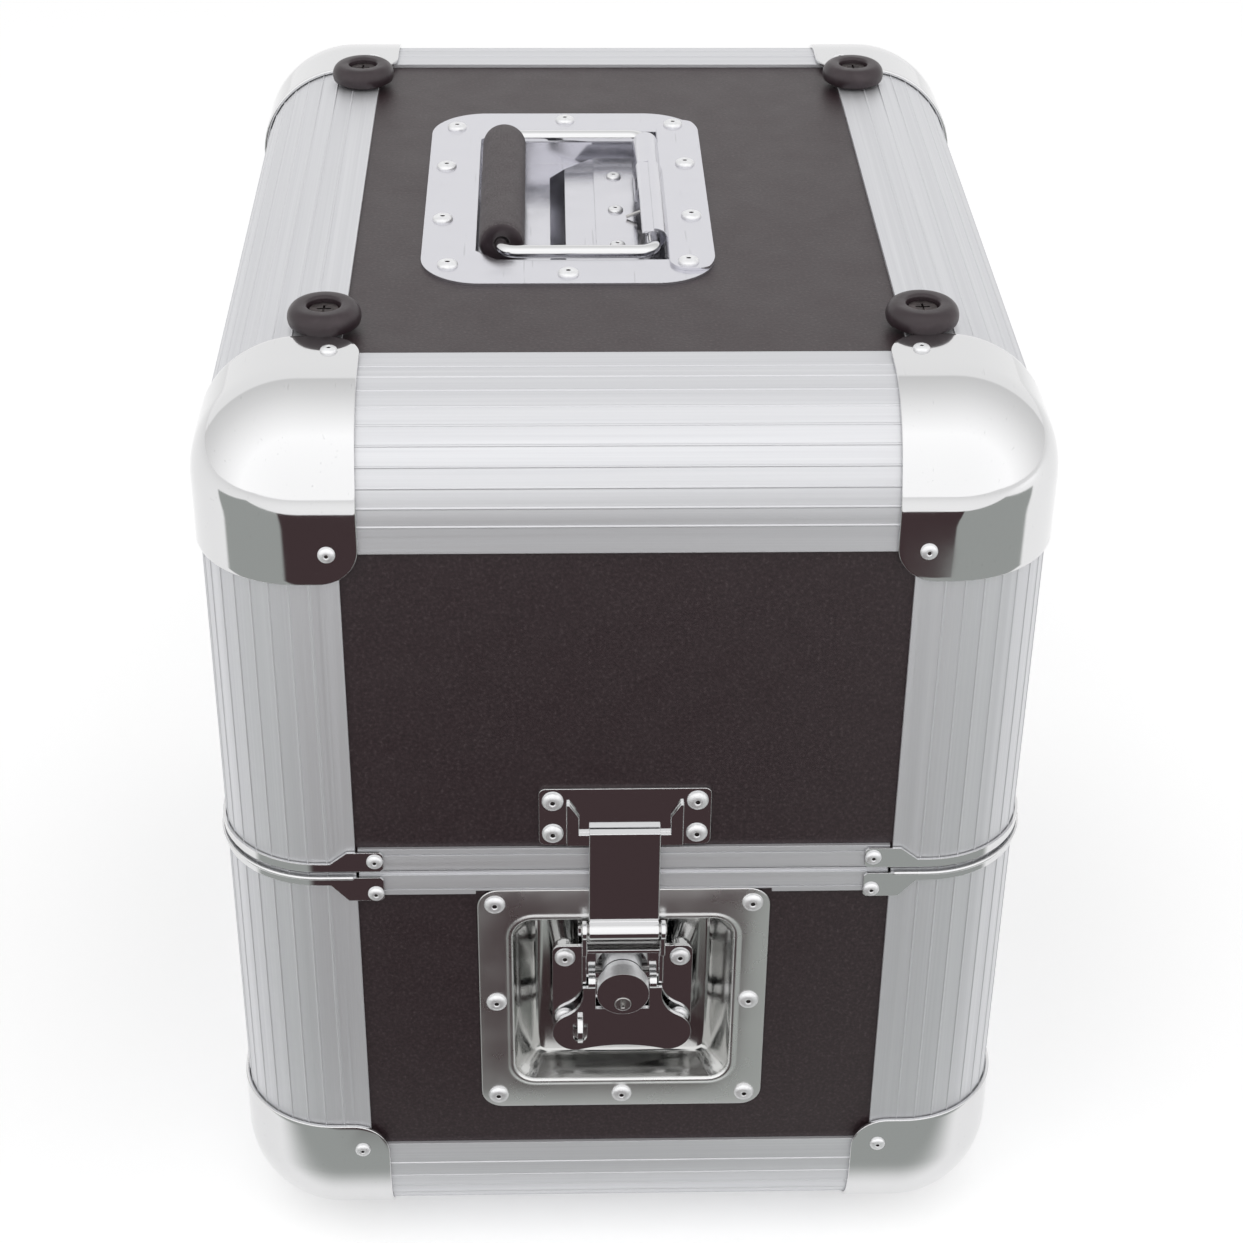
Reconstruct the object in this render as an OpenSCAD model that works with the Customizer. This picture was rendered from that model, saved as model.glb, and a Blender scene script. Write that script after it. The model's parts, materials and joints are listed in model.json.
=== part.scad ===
// Record carrying case with two equal halves, edge profiles, chromed corners, a recessed
// turn latch on the front, two hinges on the back and a recessed handle in the lid.
// The front faces -Y, +X is to the right and the case stands on its feet at Z = 0.

/* [Case] */
// Width of the case, side to side
case_w = 295; // [260:1:340]
// Depth of the case, front to back
case_d = 376; // [350:1:420]
// Height of each half of the case, without feet
half_h = 185; // [176:1:210]
// Gap between the closed halves
seam_gap = 0.4; // [0.2:0.1:1]

/* [Edge profiles] */
// Radius of the rounded edges
edge_r = 37; // [32:0.5:40]
// Reach of an edge profile over each panel, from the outer face beside it
edge_leg = 50; // [48:0.5:54]
// Wall of the profiles' outer skin
skin_t = 1.5; // [1.2:0.1:2]
// Wall of the profiles' inner lips
lip_t = 1.2; // [1:0.1:1.6]
// Wall of the webs that close the panel slots
web_t = 1.3; // [1:0.1:2]
// Space between the ends of two profiles that meet in a corner
edge_gap = 1; // [0.5:0.1:1.3]
// Pitch of the raised ribs along the outer skin
rib_pitch = 7.05; // [6.5:0.05:7.6]
// Height of a rib above the skin
rib_rise = 0.3; // [0.1:0.05:0.35]
// Number of ribs across a profile
rib_count = 10; // [6:2:10]

/* [Panels] */
// Thickness of the panels
panel_t = 5; // [4:0.1:7]
// Clearance of a panel in its slot
panel_fit = 0.1; // [0.05:0.05:0.2]
// Thickness of the foam pads
pad_t = 4; // [3:0.5:6]

/* [Closing strips] */
// Height of the strip on the rim of each half
strip_h = 10.4; // [9.8:0.1:11.4]
// Thickness of the strip's floor under the panel edge
strip_floor = 4.2; // [3.8:0.1:5]
// Height of the tongue on the base
tongue_h = 2; // [1:0.1:2.4]
// Width of the tongue on the base
tongue_w = 2; // [1.5:0.1:2.4]
// Clearance round the tongue in its groove
tongue_fit = 0.6; // [0.5:0.1:0.8]
// Relief on the strip's outer face beside the seam
seam_relief = 0.8; // [0.4:0.1:1]

/* [Corner caps] */
// Reach of a cap along the case's width, from the side
cap_x = 57; // [54:1:62]
// Reach of a cap along the case's depth, from the front or back
cap_y = 60; // [56:1:66]
// Reach of a cap along the case's height, from the top or bottom
cap_z = 61; // [56:1:66]
// Wall of a cap
cap_t = 1.5; // [1:0.1:2]
// Radius of the rounded tip of each lobe
cap_tip_r = 14; // [8:0.5:15]
// Clearance between a cap or brace and the profiles' skin
trim_fit = 0.4; // [0.36:0.02:0.6]
// Rivet's distance from the side
cap_rivet_x = 46.5; // [45:0.5:47]
// Rivet's distance from the front or back
cap_rivet_y = 48; // [46:0.5:48]
// Rivet's distance from the top or bottom
cap_rivet_z = 49; // [47:0.5:49]

/* [Corner braces] */
// Reach of a brace along each face, from the corner's two faces
brace_reach = 60; // [58:0.5:62]
// Height of the lid's braces above the seam
lid_brace_top = 9.9; // [9.4:0.1:10.4]
// Height of the rivets in the lid's braces above the seam
lid_brace_rivet = 6; // [5:0.1:6.4]
// Depth of the base's braces below the seam
base_brace_top = 11.9; // [11.4:0.1:12.6]
// Depth of the rivets in the base's braces below the seam
base_brace_rivet = 8.6; // [7.4:0.1:8.8]
// Wall of a brace
brace_t = 1; // [0.8:0.1:1.4]
// Height of the band round the corner
brace_band = 3.4; // [2.6:0.1:4]
// Step of the sloping shoulder between band and tab
brace_slope = 6.3; // [5.5:0.1:7]
// Length of the tab beyond the shoulder
brace_tab = 13; // [11:0.5:15]
// Radius of the bead on the rim of the lower braces
bead_r = 0.8; // [0.6:0.1:1]

/* [Rivets and screws] */
// Radius of a rivet's head in the corners, braces and hinges
rivet_head_r = 3; // [2.5:0.1:3.1]
// Height of those heads
rivet_head_h = 1.5; // [1.1:0.1:1.8]
// Radius of a rivet's head in the plates of the latch, keeper and handle
plate_head_r = 3.9; // [3:0.1:4.1]
// Height of those heads
plate_head_h = 1.8; // [1.2:0.1:2]
// Radius of a rivet's shank
rivet_r = 1.6; // [1.2:0.1:1.9]
// Clearance of a shank in its hole
rivet_fit = 0.05; // [0.03:0.01:0.1]

/* [Feet] */
// Height of a foot
foot_h = 8.2; // [8:0.1:10]
// Radius of a foot at its widest
foot_r = 12.9; // [11:0.1:14]
// Radius of the recess for the screw
foot_recess_r = 5.8; // [4.4:0.1:6.2]
// Foot's distance from the side
foot_x = 43.5; // [40:0.5:46]
// Foot's distance from the front or back
foot_y = 71; // [68:0.5:78]
// Radius of the foot screw's shank
screw_r = 2; // [1.5:0.1:2.2]
// Height of the foot screw's head
screw_head_h = 2.2; // [1.6:0.1:3]
// Length of the foot screw's thread below the foot
screw_reach = 6; // [4:0.5:6.5]

/* [Latch dish] */
// Distance of the dish's centre below the seam
latch_drop = 62.7; // [61.5:0.1:64]
// Width of the dish's flange
dish_w = 108; // [104:0.5:116]
// Height of the dish's flange
dish_h = 107; // [104:0.5:107.5]
// Width of the dish's opening
mouth_w = 82; // [76:0.5:84]
// Height of the dish's opening
mouth_h = 79; // [77:0.5:82]
// Depth of the dish
dish_depth = 12.5; // [12.5:0.1:14]
// Run of the sloping walls at the sides
side_slope = 8; // [5:0.1:8.5]
// Run of the sloping walls at the top and bottom
end_slope = 4; // [3:0.1:5]
// Thickness of the pressed sheet
sheet_t = 1.2; // [1:0.1:1.4]
// Rivet's distance from the edge of the flange
dish_rivet_in = 6.5; // [5:0.1:7]

/* [Latch] */
// Height of the barrel's axis above the dish's centre
barrel_up = 6.7; // [6:0.1:7]
// Radius of the barrel
barrel_r = 7.6; // [7:0.1:8]
// Radius of the barrel's collar
collar_r = 9.8; // [9.4:0.1:10]
// Thickness of the barrel's collar
collar_t = 5.8; // [5.4:0.1:6]
// Reach of the barrel in front of the case's face
barrel_out = 3.8; // [3.4:0.1:4.4]
// Radius of the barrel's shaft
shaft_r = 5; // [4.5:0.1:5.2]
// Radius of the key plug
plug_r = 3.1; // [2.6:0.1:3.2]
// Distance of the key plug below the barrel's axis
plug_drop = 4.8; // [4.6:0.1:5]
// Travel of the hook between shut and free
latch_lift = 6.5; // [5:0.1:6.5]
// Radius of the cam's groove where the latch is shut
cam_r0 = 8; // [8:0.1:8.4]
// Radius of the follower that runs in the cam's groove
follower_r = 1.5; // [1.2:0.1:1.6]
// Width of the latch's base plate
base_plate_w = 53; // [52:0.5:56]
// Height of the latch's base plate
base_plate_h = 40; // [38:0.5:41]
// Height of the base plate's centre above the dish's centre
base_plate_up = 0.9; // [0:0.1:1.2]
// Thickness of the latch's plates
plate_t = 1.5; // [1.3:0.1:1.6]
// Clearance between parts of the latch that slide past each other
slide_gap = 0.3; // [0.2:0.05:0.35]
// Radial clearance of a turning fit
turn_fit = 0.05; // [0.03:0.01:0.08]
// Radial clearance of a pin that is staked in place
stake_fit = 0.02; // [0.01:0.01:0.03]
// Half width of the wing at its neck
wing_neck = 15; // [14.6:0.1:15.4]
// Half width of the wing at its lobes
wing_half = 26.5; // [25:0.1:27]
// Length of the wing from its pivot
wing_len = 34; // [31:0.5:34.5]
// Distance of the padlock eye from the middle of the wing
eye_x = 16; // [14:0.5:18]
// Radius of the padlock eye
eye_r = 6.5; // [5:0.1:7]
// Thickness of the padlock eye
eye_t = 2; // [1.5:0.1:2.4]
// Radius of the wing's pivot pin
wing_pin_r = 1.2; // [1:0.1:1.3]
// Radius of the lugs round the wing's pivot pin
wing_lug_r = 3; // [2.6:0.1:3]

/* [Hook and keeper] */
// Half width of the hook
hook_half = 12.9; // [12:0.1:12.9]
// Height of the hook's pin above the dish's centre
pin_up = 37.7; // [37.5:0.1:38.5]
// Distance of the hook's pin in front of the case's face
pin_out = 3.8; // [3.8:0.1:4.4]
// Radius of the hook's pin
pin_r = 2.3; // [2:0.1:2.4]
// Thickness of the hook's lip
lip_of_hook = 1.5; // [1.2:0.1:1.8]
// Half width of the keeper
keeper_half = 31; // [30.5:0.5:33]
// Height of the keeper
keeper_h = 25; // [24.5:0.5:28]
// Gap between the closing strip and the keeper
keeper_gap = 1.1; // [0.5:0.1:2]
// Height of the keeper's ledge above its lower edge
ledge_up = 5.7; // [5:0.1:9.5]
// Rise of the keeper's pressed frame
ledge_rise = 1.9; // [1.7:0.1:1.9]

/* [Carrying handle] */
// Offset of the handle's plate from the middle of the lid
handle_x = -19; // [-24:0.5:24]
// Width of the handle's plate
handle_w = 108; // [108:0.5:112]
// Length of the handle's plate
handle_l = 164; // [160:1:172]
// Radius of the plate's corners
handle_r = 22; // [16:0.5:24]
// Left edge of the dish's opening, from the plate's centre
well_left = 34; // [33:0.5:36]
// Half length of the dish's opening
well_half = 62; // [60.5:0.5:64]
// Depth of the dish below the grip
well_depth = 14; // [12:0.5:16]
// Depth of the dish's raised platform
platform_depth = 8.8; // [8:0.1:9.5]
// Position of the axle, from the plate's centre
axle_x = 32; // [31:0.5:33]
// Radius of the bail's wire
wire_r = 2.5; // [2.2:0.1:2.8]
// Centre radius of the bail's bends
bend_r = 6; // [5.5:0.1:7]
// Half length between the bail's arms
bail_half = 56; // [55:0.5:57]
// Distance from the axle to the grip
bail_reach = 56.5; // [54:0.5:57]
// Radius of the grip
grip_r = 8.5; // [7.5:0.1:9]
// Length of the grip
grip_l = 98; // [90:1:99]
// Radius of the spring's wire
coil_wire_r = 0.7; // [0.5:0.1:0.8]
// Number of turns of the spring
coil_turns = 10; // [8:1:14]

/* [Hinges] */
// Gap between a hinge and the corner brace beside it
hinge_gap = 2.5; // [1:0.1:10]
// Length of a hinge
hinge_l = 60; // [50:1:62]
// Height of a hinge leaf
leaf_h = 32; // [28:1:40]
// Thickness of a hinge leaf
leaf_t = 2; // [1.5:0.1:2.5]
// Distance of the hinge pin behind the case's back
knuckle_out = 4; // [4:0.1:5]
// Radius of a hinge knuckle
knuckle_r = 3.4; // [3:0.1:3.4]
// Radius of a hinge pin
hinge_pin_r = 1.8; // [1.4:0.1:2]
// Gap between two knuckles
knuckle_gap = 0.4; // [0.3:0.1:0.8]

/* [Hidden] */
$fn = 64;
small_fn = 32;
over = 1;
side_x = case_w / 2;
face_y = case_d / 2;
stand = rib_rise + foot_h;
split_z = stand + half_h;
top_z = stand + 2 * half_h;
slot_w = panel_t + 2 * panel_fit;
inner_depth = skin_t + slot_w + lip_t;
panel_in = skin_t + panel_fit;
panel_back = panel_in + panel_t;
arc_half = edge_r * PI / 4;
rib_r = 0.45;
edge_cut = edge_leg + edge_gap;
rim = seam_gap / 2;
brace_out = trim_fit + brace_t;
cap_out = trim_fit + cap_t;
rivet_len = 3.4;
hole_r = rivet_r + rivet_fit;
brace_rivet_in = 3;

// Latch: distances out of the case's front face, positive towards the user
flange_back = -panel_in;
flange_front = flange_back + sheet_t;
floor_out = flange_front - dish_depth;
dish_r = 8;
mouth_r = 8;
floor_r = 5;
dish_cut = 2;
link_back = floor_out + slide_gap;
link_front = link_back + plate_t - 0.1;
cam_t = 1.6;
cam_back = link_front + slide_gap;
cam_front = cam_back + cam_t;
base_back = cam_front + slide_gap + 0.2;
base_front = base_back + plate_t;
barrel_back = base_front + slide_gap;
wing_out = barrel_back + wing_lug_r;
collar_back = barrel_out - collar_t;
cam_slot_half = follower_r + 0.2;
cam_r = cam_r0 + latch_lift + cam_slot_half + 1.8;
cam_steps = 24;
boss_r = 4.5;
base_rivet_x = 21.7;
base_rivet_y = 14.7;
link_half = base_rivet_x - boss_r - 0.4;
arm_y = barrel_up + cam_r + slide_gap;
arm_t = 1.6;
flange_t = 1.9;
ear_gap = 0.7;
ear_in = hook_half + ear_gap;
ear_t = 1.8;
ear_r = pin_r + 1.3;
ear_back = pin_out - ear_r;
wing_window = 13.2;
window_half = collar_r + 0.3;
lug_end = hook_half;
hook_back = ledge_rise + flange_front + slide_gap;
hook_front = hook_back + plate_t;
knuckle_wall = 1.2;
keeper_low = latch_drop + strip_h + keeper_gap;
keeper_mid = keeper_low + keeper_h / 2;
ledge_top = keeper_low + ledge_up;
hook_top = ledge_top + slide_gap + lip_of_hook;
keeper_rivet_x = 26;
keeper_rivet_y = 7.2;

// Handle: distances above the lid's top face
well_floor = flange_front - well_depth;
platform_top = flange_front - platform_depth;
grip_x = axle_x - bail_reach;
coil_r = wire_r + coil_wire_r + 0.3;
coil_pitch = 2.5;
coil_start = -8;
cover_half = handle_l / 2 - 10;
cover_corner = 7.5;
hood_in = coil_r + coil_wire_r + 0.4;
throat_in = hood_in - 0.7;
well_right = axle_x + hood_in + 0.4;
hood_half = bail_half - bend_r - 2;
hood_step = coil_start + coil_pitch * coil_turns + coil_wire_r + 0.5;
skirt_end = coil_start + 2;
ring_in = 5;
ring_w = 6;
leg_cut = 8;

hinge_x = side_x - brace_reach - hinge_gap - hinge_l / 2;
hinge_y = face_y + knuckle_out;
corner_signs = [for (sx = [-1, 1]) for (sy = [-1, 1]) [sx, sy]];

// ---- placing ----

// Every half is drawn upwards from the seam at Z = 0 and then set in its place
module as_lid() {
    translate([0, 0, split_z]) children();
}

module as_base() {
    translate([0, 0, split_z]) mirror([0, 0, 1]) children();
}

// One corner drawn at +X and +Y, repeated at the four uprights
module at_corners() {
    for (s = corner_signs) scale_signs(s[0], s[1]) children();
}

module scale_signs(sx, sy) {
    mirror([sx < 0 ? 1 : 0, 0, 0]) mirror([0, sy < 0 ? 1 : 0, 0]) children();
}

// Local Z points out of the front, local Y up
module on_front(x, z, out = 0) {
    translate([x, -face_y - out, z]) rotate([90, 0, 0]) children();
}

module on_back(x, z, out = 0) {
    translate([x, face_y + out, z]) rotate([-90, 0, 0]) children();
}

module on_right(y, z, out = 0) {
    translate([side_x + out, y, z]) rotate([0, 90, 0]) children();
}

// Frame of the latch: local Y up from the dish's centre, local Z out of the front
module at_latch() {
    on_front(0, split_z - latch_drop) children();
}

module at_barrel() {
    at_latch() translate([0, barrel_up, 0]) children();
}

// Frame of the handle: local Z up from the lid's top face
module at_handle() {
    translate([handle_x, 0, top_z]) children();
}

module slab(low, high) {
    translate([0, 0, low]) linear_extrude(high - low) children();
}

module along_x(length) {
    rotate([90, 0, 90]) linear_extrude(length, center = true) children();
}

module along_y(length) {
    rotate([90, 0, 0]) linear_extrude(length, center = true) children();
}

// A cylinder along X or Y, centred on the origin
module rod_x(r, length) {
    rotate([0, 90, 0]) cylinder(r = r, h = length, center = true);
}

module rod_y(r, length) {
    rotate([90, 0, 0]) cylinder(r = r, h = length, center = true);
}

// ---- shared shapes ----

module round_rect(w, h, r) {
    square([w - 2 * r, h], center = true);
    square([w, h - 2 * r], center = true);
    for (x = [-1, 1]) for (y = [-1, 1])
        translate([x * (w / 2 - r), y * (h / 2 - r)]) circle(r);
}

// A quarter ring between two radii, in the first quadrant
module quarter_ring(r_in, r_out) {
    intersection() {
        difference() {
            circle(r_out);
            circle(r_in);
        }
        square(r_out + over);
    }
}

// A domed head on the plane Z = 0 with its shank below
module rivet(shank = rivet_len, head_r = rivet_head_r, head_h = rivet_head_h) {
    ball = (head_r * head_r + head_h * head_h) / (2 * head_h);
    dimple = 0.2 * head_r;
    difference() {
        union() {
            rotate_extrude($fn = small_fn)
                intersection() {
                    translate([0, head_h - ball]) circle(ball);
                    square([head_r + over, head_h + over]);
                }
            translate([0, 0, -shank]) cylinder(r = rivet_r, h = shank + 0.2, $fn = small_fn);
        }
        translate([0, 0, head_h - dimple]) cylinder(r = dimple, h = over, $fn = small_fn);
    }
}

module plate_rivet(shank) {
    rivet(shank, plate_head_r, plate_head_h);
}

module rivet_hole(depth) {
    translate([0, 0, -depth]) cylinder(r = hole_r, h = 2 * depth, $fn = small_fn);
}

// ---- edge profiles ----

// Point on a profile's outer face at the distance s along it from the middle of its arc,
// sunk below the face
function on_profile(s, sunk) =
    abs(s) <= arc_half
        ? let (a = 45 + s / edge_r * 180 / PI)
            [edge_r - (edge_r - sunk) * cos(a), edge_r - (edge_r - sunk) * sin(a)]
        : s > 0
            ? [edge_r + s - arc_half, sunk]
            : [sunk, edge_r - s - arc_half];

module profile_side() {
    translate([edge_r, 0]) square([edge_leg - edge_r, skin_t]);
    translate([edge_r - web_t, skin_t / 2]) square([web_t, inner_depth - skin_t / 2]);
    translate([edge_r - web_t, inner_depth - lip_t]) square([edge_leg - edge_r + web_t, lip_t]);
}

// Section of a profile whose outer faces lie on the two axes
module edge_section() {
    translate([edge_r, edge_r]) rotate(180) quarter_ring(edge_r - skin_t, edge_r);
    profile_side();
    mirror([1, -1]) profile_side();
    for (i = [0 : rib_count - 1])
        translate(on_profile((i - (rib_count - 1) / 2) * rib_pitch, rib_r - rib_rise))
            circle(rib_r, $fn = 16);
}

// The edge over the front, back or a side of a half
module front_edge() {
    color("silver") along_x(case_w - 2 * edge_cut)
        translate([-face_y, half_h]) mirror([0, 1]) edge_section();
}

module back_edge() {
    mirror([0, 1, 0]) front_edge();
}

module left_edge() {
    color("silver") difference() {
        along_y(case_d - 2 * edge_cut)
            translate([-side_x, half_h]) mirror([0, 1]) edge_section();
        foot_screw_holes();
    }
}

module right_edge() {
    mirror([1, 0, 0]) left_edge();
}

module upright_edges() {
    color("silver") at_corners() slab(rim, half_h - edge_cut)
        translate([side_x, face_y]) rotate(180) edge_section();
}

// ---- panels ----

panel_low = rim + strip_floor + panel_fit;
panel_high = half_h - edge_r - panel_fit;
panel_half_x = side_x - edge_r - panel_fit;
panel_half_y = face_y - edge_r - panel_fit;

// Holes of the rivets that hold the caps and braces, on the front at +X and -X
module front_trim_holes(up) {
    for (sx = [-1, 1]) {
        on_front(sx * (side_x - cap_rivet_x), half_h - cap_rivet_z) rivet_hole(panel_back + over);
        on_front(sx * (side_x - brace_reach + brace_rivet_in), up)
            rivet_hole(panel_back + over);
    }
}

module right_trim_holes(up) {
    for (sy = [-1, 1]) {
        on_right(sy * (face_y - cap_rivet_y), half_h - cap_rivet_z) rivet_hole(panel_back + over);
        on_right(sy * (face_y - brace_reach + brace_rivet_in), up)
            rivet_hole(panel_back + over);
    }
}

module front_board(up) {
    difference() {
        translate([-panel_half_x, -face_y + panel_in, panel_low])
            cube([2 * panel_half_x, panel_t, panel_high - panel_low]);
        front_trim_holes(up);
    }
}

module foot_screw_holes() {
    depth = screw_reach + 0.2;
    at_feet() translate([0, 0, -depth]) cylinder(r = screw_r + rivet_fit, h = 2 * depth);
}

module right_board(up) {
    difference() {
        translate([side_x - panel_back, -panel_half_y, panel_low])
            cube([panel_t, 2 * panel_half_y, panel_high - panel_low]);
        right_trim_holes(up);
    }
}

module end_board() {
    difference() {
        translate([-panel_half_x, -panel_half_y, half_h - panel_back])
            cube([2 * panel_half_x, 2 * panel_half_y, panel_t]);
        at_corners() translate([side_x - cap_rivet_x, face_y - cap_rivet_y, half_h])
            rivet_hole(panel_back + over);
        foot_screw_holes();
    }
}

board_colour = [0.24, 0.2, 0.2];

module base_front_panel() {
    color(board_colour) difference() {
        as_base() front_board(base_brace_rivet);
        at_latch() slab(-panel_back - over, over)
            round_rect(mouth_w + 2 * dish_cut, mouth_h + 2 * dish_cut, mouth_r + dish_cut);
        at_latch() dish_rivet_places() rivet_hole(panel_back + over);
    }
}

module base_back_panel() {
    color(board_colour) difference() {
        as_base() mirror([0, 1, 0]) front_board(base_brace_rivet);
        as_base() leaf_rivet_places() rivet_hole(panel_back + over);
    }
}

module base_left_panel() {
    color(board_colour) as_base() mirror([1, 0, 0]) right_board(base_brace_rivet);
}

module base_right_panel() {
    color(board_colour) as_base() right_board(base_brace_rivet);
}

module base_bottom_panel() {
    color(board_colour) as_base() end_board();
}

module lid_front_panel() {
    color(board_colour) difference() {
        as_lid() front_board(lid_brace_rivet);
        at_latch() keeper_rivet_places() rivet_hole(panel_back + over);
    }
}

module lid_back_panel() {
    color(board_colour) difference() {
        as_lid() mirror([0, 1, 0]) front_board(lid_brace_rivet);
        as_lid() leaf_rivet_places() rivet_hole(panel_back + over);
    }
}

module lid_left_panel() {
    color(board_colour) as_lid() mirror([1, 0, 0]) right_board(lid_brace_rivet);
}

module lid_right_panel() {
    color(board_colour) as_lid() right_board(lid_brace_rivet);
}

module lid_top_panel() {
    color(board_colour) difference() {
        as_lid() end_board();
        at_handle() slab(-panel_back - over, over) well_outline(sheet_t + 0.5);
        at_handle() handle_rivet_places() rivet_hole(panel_back + over);
    }
}

// ---- closing strips ----

groove_mid = skin_t + slot_w / 2;
groove_half = tongue_w / 2 + tongue_fit;
groove_h = tongue_h + tongue_fit;
face_line = 2.3;
face_line_w = 0.5;
relief_h = 1.2;

// Section of a strip: X is the depth from the outer face, Y the height above the seam
module strip_section() {
    line_low = strip_h - face_line - face_line_w;
    difference() {
        translate([0, rim]) square([inner_depth, strip_h - rim]);
        translate([skin_t, rim + strip_floor]) square([slot_w, strip_h]);
        translate([-over, -over]) square([over + seam_relief, over + rim + relief_h]);
        translate([-over, line_low]) square([over + face_line_w, face_line_w]);
    }
}

module lid_strip_section() {
    difference() {
        strip_section();
        translate([groove_mid - groove_half, -over])
            square([2 * groove_half, over + rim + groove_h]);
    }
}

module base_strip_section() {
    strip_section();
    translate([groove_mid - tongue_w / 2, rim - tongue_h])
        square([tongue_w, tongue_h + strip_floor]);
}

// Four strips round a rim, from the section at child 0
module strip_frame(up) {
    difference() {
        union() {
            for (side = [0, 1]) mirror([0, side, 0])
                along_x(case_w - 2 * edge_cut) translate([-face_y, 0]) children();
            for (side = [0, 1]) mirror([side, 0, 0])
                along_y(case_d - 2 * edge_cut) translate([-side_x, 0]) children();
        }
        for (side = [0, 1]) mirror([0, side, 0]) front_trim_holes(up);
        for (side = [0, 1]) mirror([side, 0, 0]) right_trim_holes(up);
    }
}

module base_closing_strips() {
    color("gainsboro") difference() {
        as_base() strip_frame(base_brace_rivet) base_strip_section();
        at_latch() slab(flange_back, over)
            square([dish_w + 2 * slide_gap, dish_h + 2 * slide_gap], center = true);
    }
}

module lid_closing_strips() {
    color("gainsboro") as_lid() strip_frame(lid_brace_rivet) lid_strip_section();
}

// ---- corner caps and braces ----

cap_flat_x = cap_x - edge_r;
cap_flat_y = cap_y - edge_r;
cap_flat_z = cap_z - edge_r;

// A plate with one rounded corner away from the origin
module cap_leaf(w, h) {
    intersection() {
        square([w, h]);
        union() {
            square([w - cap_tip_r, h]);
            square([w, h - cap_tip_r]);
            translate([w - cap_tip_r, h - cap_tip_r]) circle(cap_tip_r);
        }
    }
}

// One cap at +X, +Y and the top: a ball octant, three quarter tubes and three leaves
module corner_cap() {
    r_in = edge_r + trim_fit;
    r_out = edge_r + cap_out;
    difference() {
        translate([side_x - edge_r, face_y - edge_r, half_h - edge_r]) {
            rotate_extrude(angle = 90) quarter_ring(r_in, r_out);
            mirror([0, 0, 1]) linear_extrude(cap_flat_z) quarter_ring(r_in, r_out);
            mirror([1, 0, 0]) rotate([90, 0, 90]) linear_extrude(cap_flat_x)
                quarter_ring(r_in, r_out);
            rotate([90, 0, 0]) linear_extrude(cap_flat_y) quarter_ring(r_in, r_out);
            translate([0, 0, r_in]) linear_extrude(cap_t) rotate(180)
                cap_leaf(cap_flat_x, cap_flat_y);
            translate([0, r_in, 0]) rotate([-90, 0, 0]) linear_extrude(cap_t)
                mirror([1, 0]) cap_leaf(cap_flat_x, cap_flat_z);
            translate([r_in, 0, 0]) rotate([90, 0, 90]) linear_extrude(cap_t)
                rotate(180) cap_leaf(cap_flat_y, cap_flat_z);
        }
        cap_rivet_places() rivet_hole(cap_out + over);
    }
}

// Seats of a cap's three rivets, on its outer faces
module cap_rivet_places(out = cap_out) {
    on_back(side_x - cap_rivet_x, half_h - cap_rivet_z, out) children();
    on_right(face_y - cap_rivet_y, half_h - cap_rivet_z, out) children();
    translate([side_x - cap_rivet_x, face_y - cap_rivet_y, half_h + out]) children();
}

module corner_caps() {
    color("whitesmoke") at_corners() corner_cap();
}

brace_low = rim + 1.2;

// Outline of a brace's straight part, from the end of the arc inwards
module brace_tab_outline(top) {
    run = brace_reach - edge_r;
    shoulder = run - brace_tab;
    nick = 1.2;
    polygon([
        [0, brace_low], [run - nick, brace_low], [run, brace_low + nick],
        [run, top - nick], [run - nick, top], [shoulder, top],
        [shoulder - brace_slope, brace_low + brace_band], [0, brace_low + brace_band]
    ]);
}

// One brace at +X and +Y, bent round the upright at the seam
module corner_brace(top, up) {
    r_in = edge_r + trim_fit;
    difference() {
        translate([side_x - edge_r, face_y - edge_r, 0]) {
            slab(brace_low, brace_low + brace_band) quarter_ring(r_in, r_in + brace_t);
            translate([0, r_in, 0]) rotate([90, 0, 180]) linear_extrude(brace_t)
                brace_tab_outline(top);
            translate([r_in + brace_t, 0, 0]) rotate([90, 0, -90]) linear_extrude(brace_t)
                brace_tab_outline(top);
        }
        brace_rivet_places(up) rivet_hole(brace_out + over);
    }
}

module brace_rivet_places(up) {
    on_back(side_x - brace_reach + brace_rivet_in, up, brace_out) children();
    on_right(face_y - brace_reach + brace_rivet_in, up, brace_out) children();
}

// Rolled bead along the rim of a lower brace
module brace_bead() {
    run = cap_flat_x - brace_tab + 5;
    mid = edge_r + brace_out;
    translate([side_x - edge_r, face_y - edge_r, brace_low]) {
        rotate_extrude(angle = 90) translate([mid, 0]) circle(bead_r, $fn = small_fn);
        translate([-run / 2, mid, 0]) rod_x(bead_r, run, $fn = small_fn);
        translate([mid, -run / 2, 0]) rod_y(bead_r, run, $fn = small_fn);
    }
}

module base_corner_caps() {
    as_base() corner_caps();
}

module lid_corner_caps() {
    as_lid() corner_caps();
}

module base_corner_braces() {
    color("whitesmoke") as_base() at_corners() {
        corner_brace(base_brace_top, base_brace_rivet);
        brace_bead();
    }
}

module lid_corner_braces() {
    color("whitesmoke") as_lid() at_corners() corner_brace(lid_brace_top, lid_brace_rivet);
}

module trim_rivets(up) {
    at_corners() {
        cap_rivet_places() rivet(cap_out + rivet_len);
        brace_rivet_places(up) rivet(brace_out + rivet_len);
    }
    leaf_rivet_places(leaf_t) rivet(leaf_t + rivet_len);
}

module base_rivets() {
    color("gainsboro") as_base() trim_rivets(base_brace_rivet);
}

module lid_rivets() {
    color("gainsboro") as_lid() trim_rivets(lid_brace_rivet);
}

// ---- feet and pads ----

foot_recess_depth = foot_h / 2;
foot_neck = 2.9;
foot_under = cap_out - rib_rise + 0.3;

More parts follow.
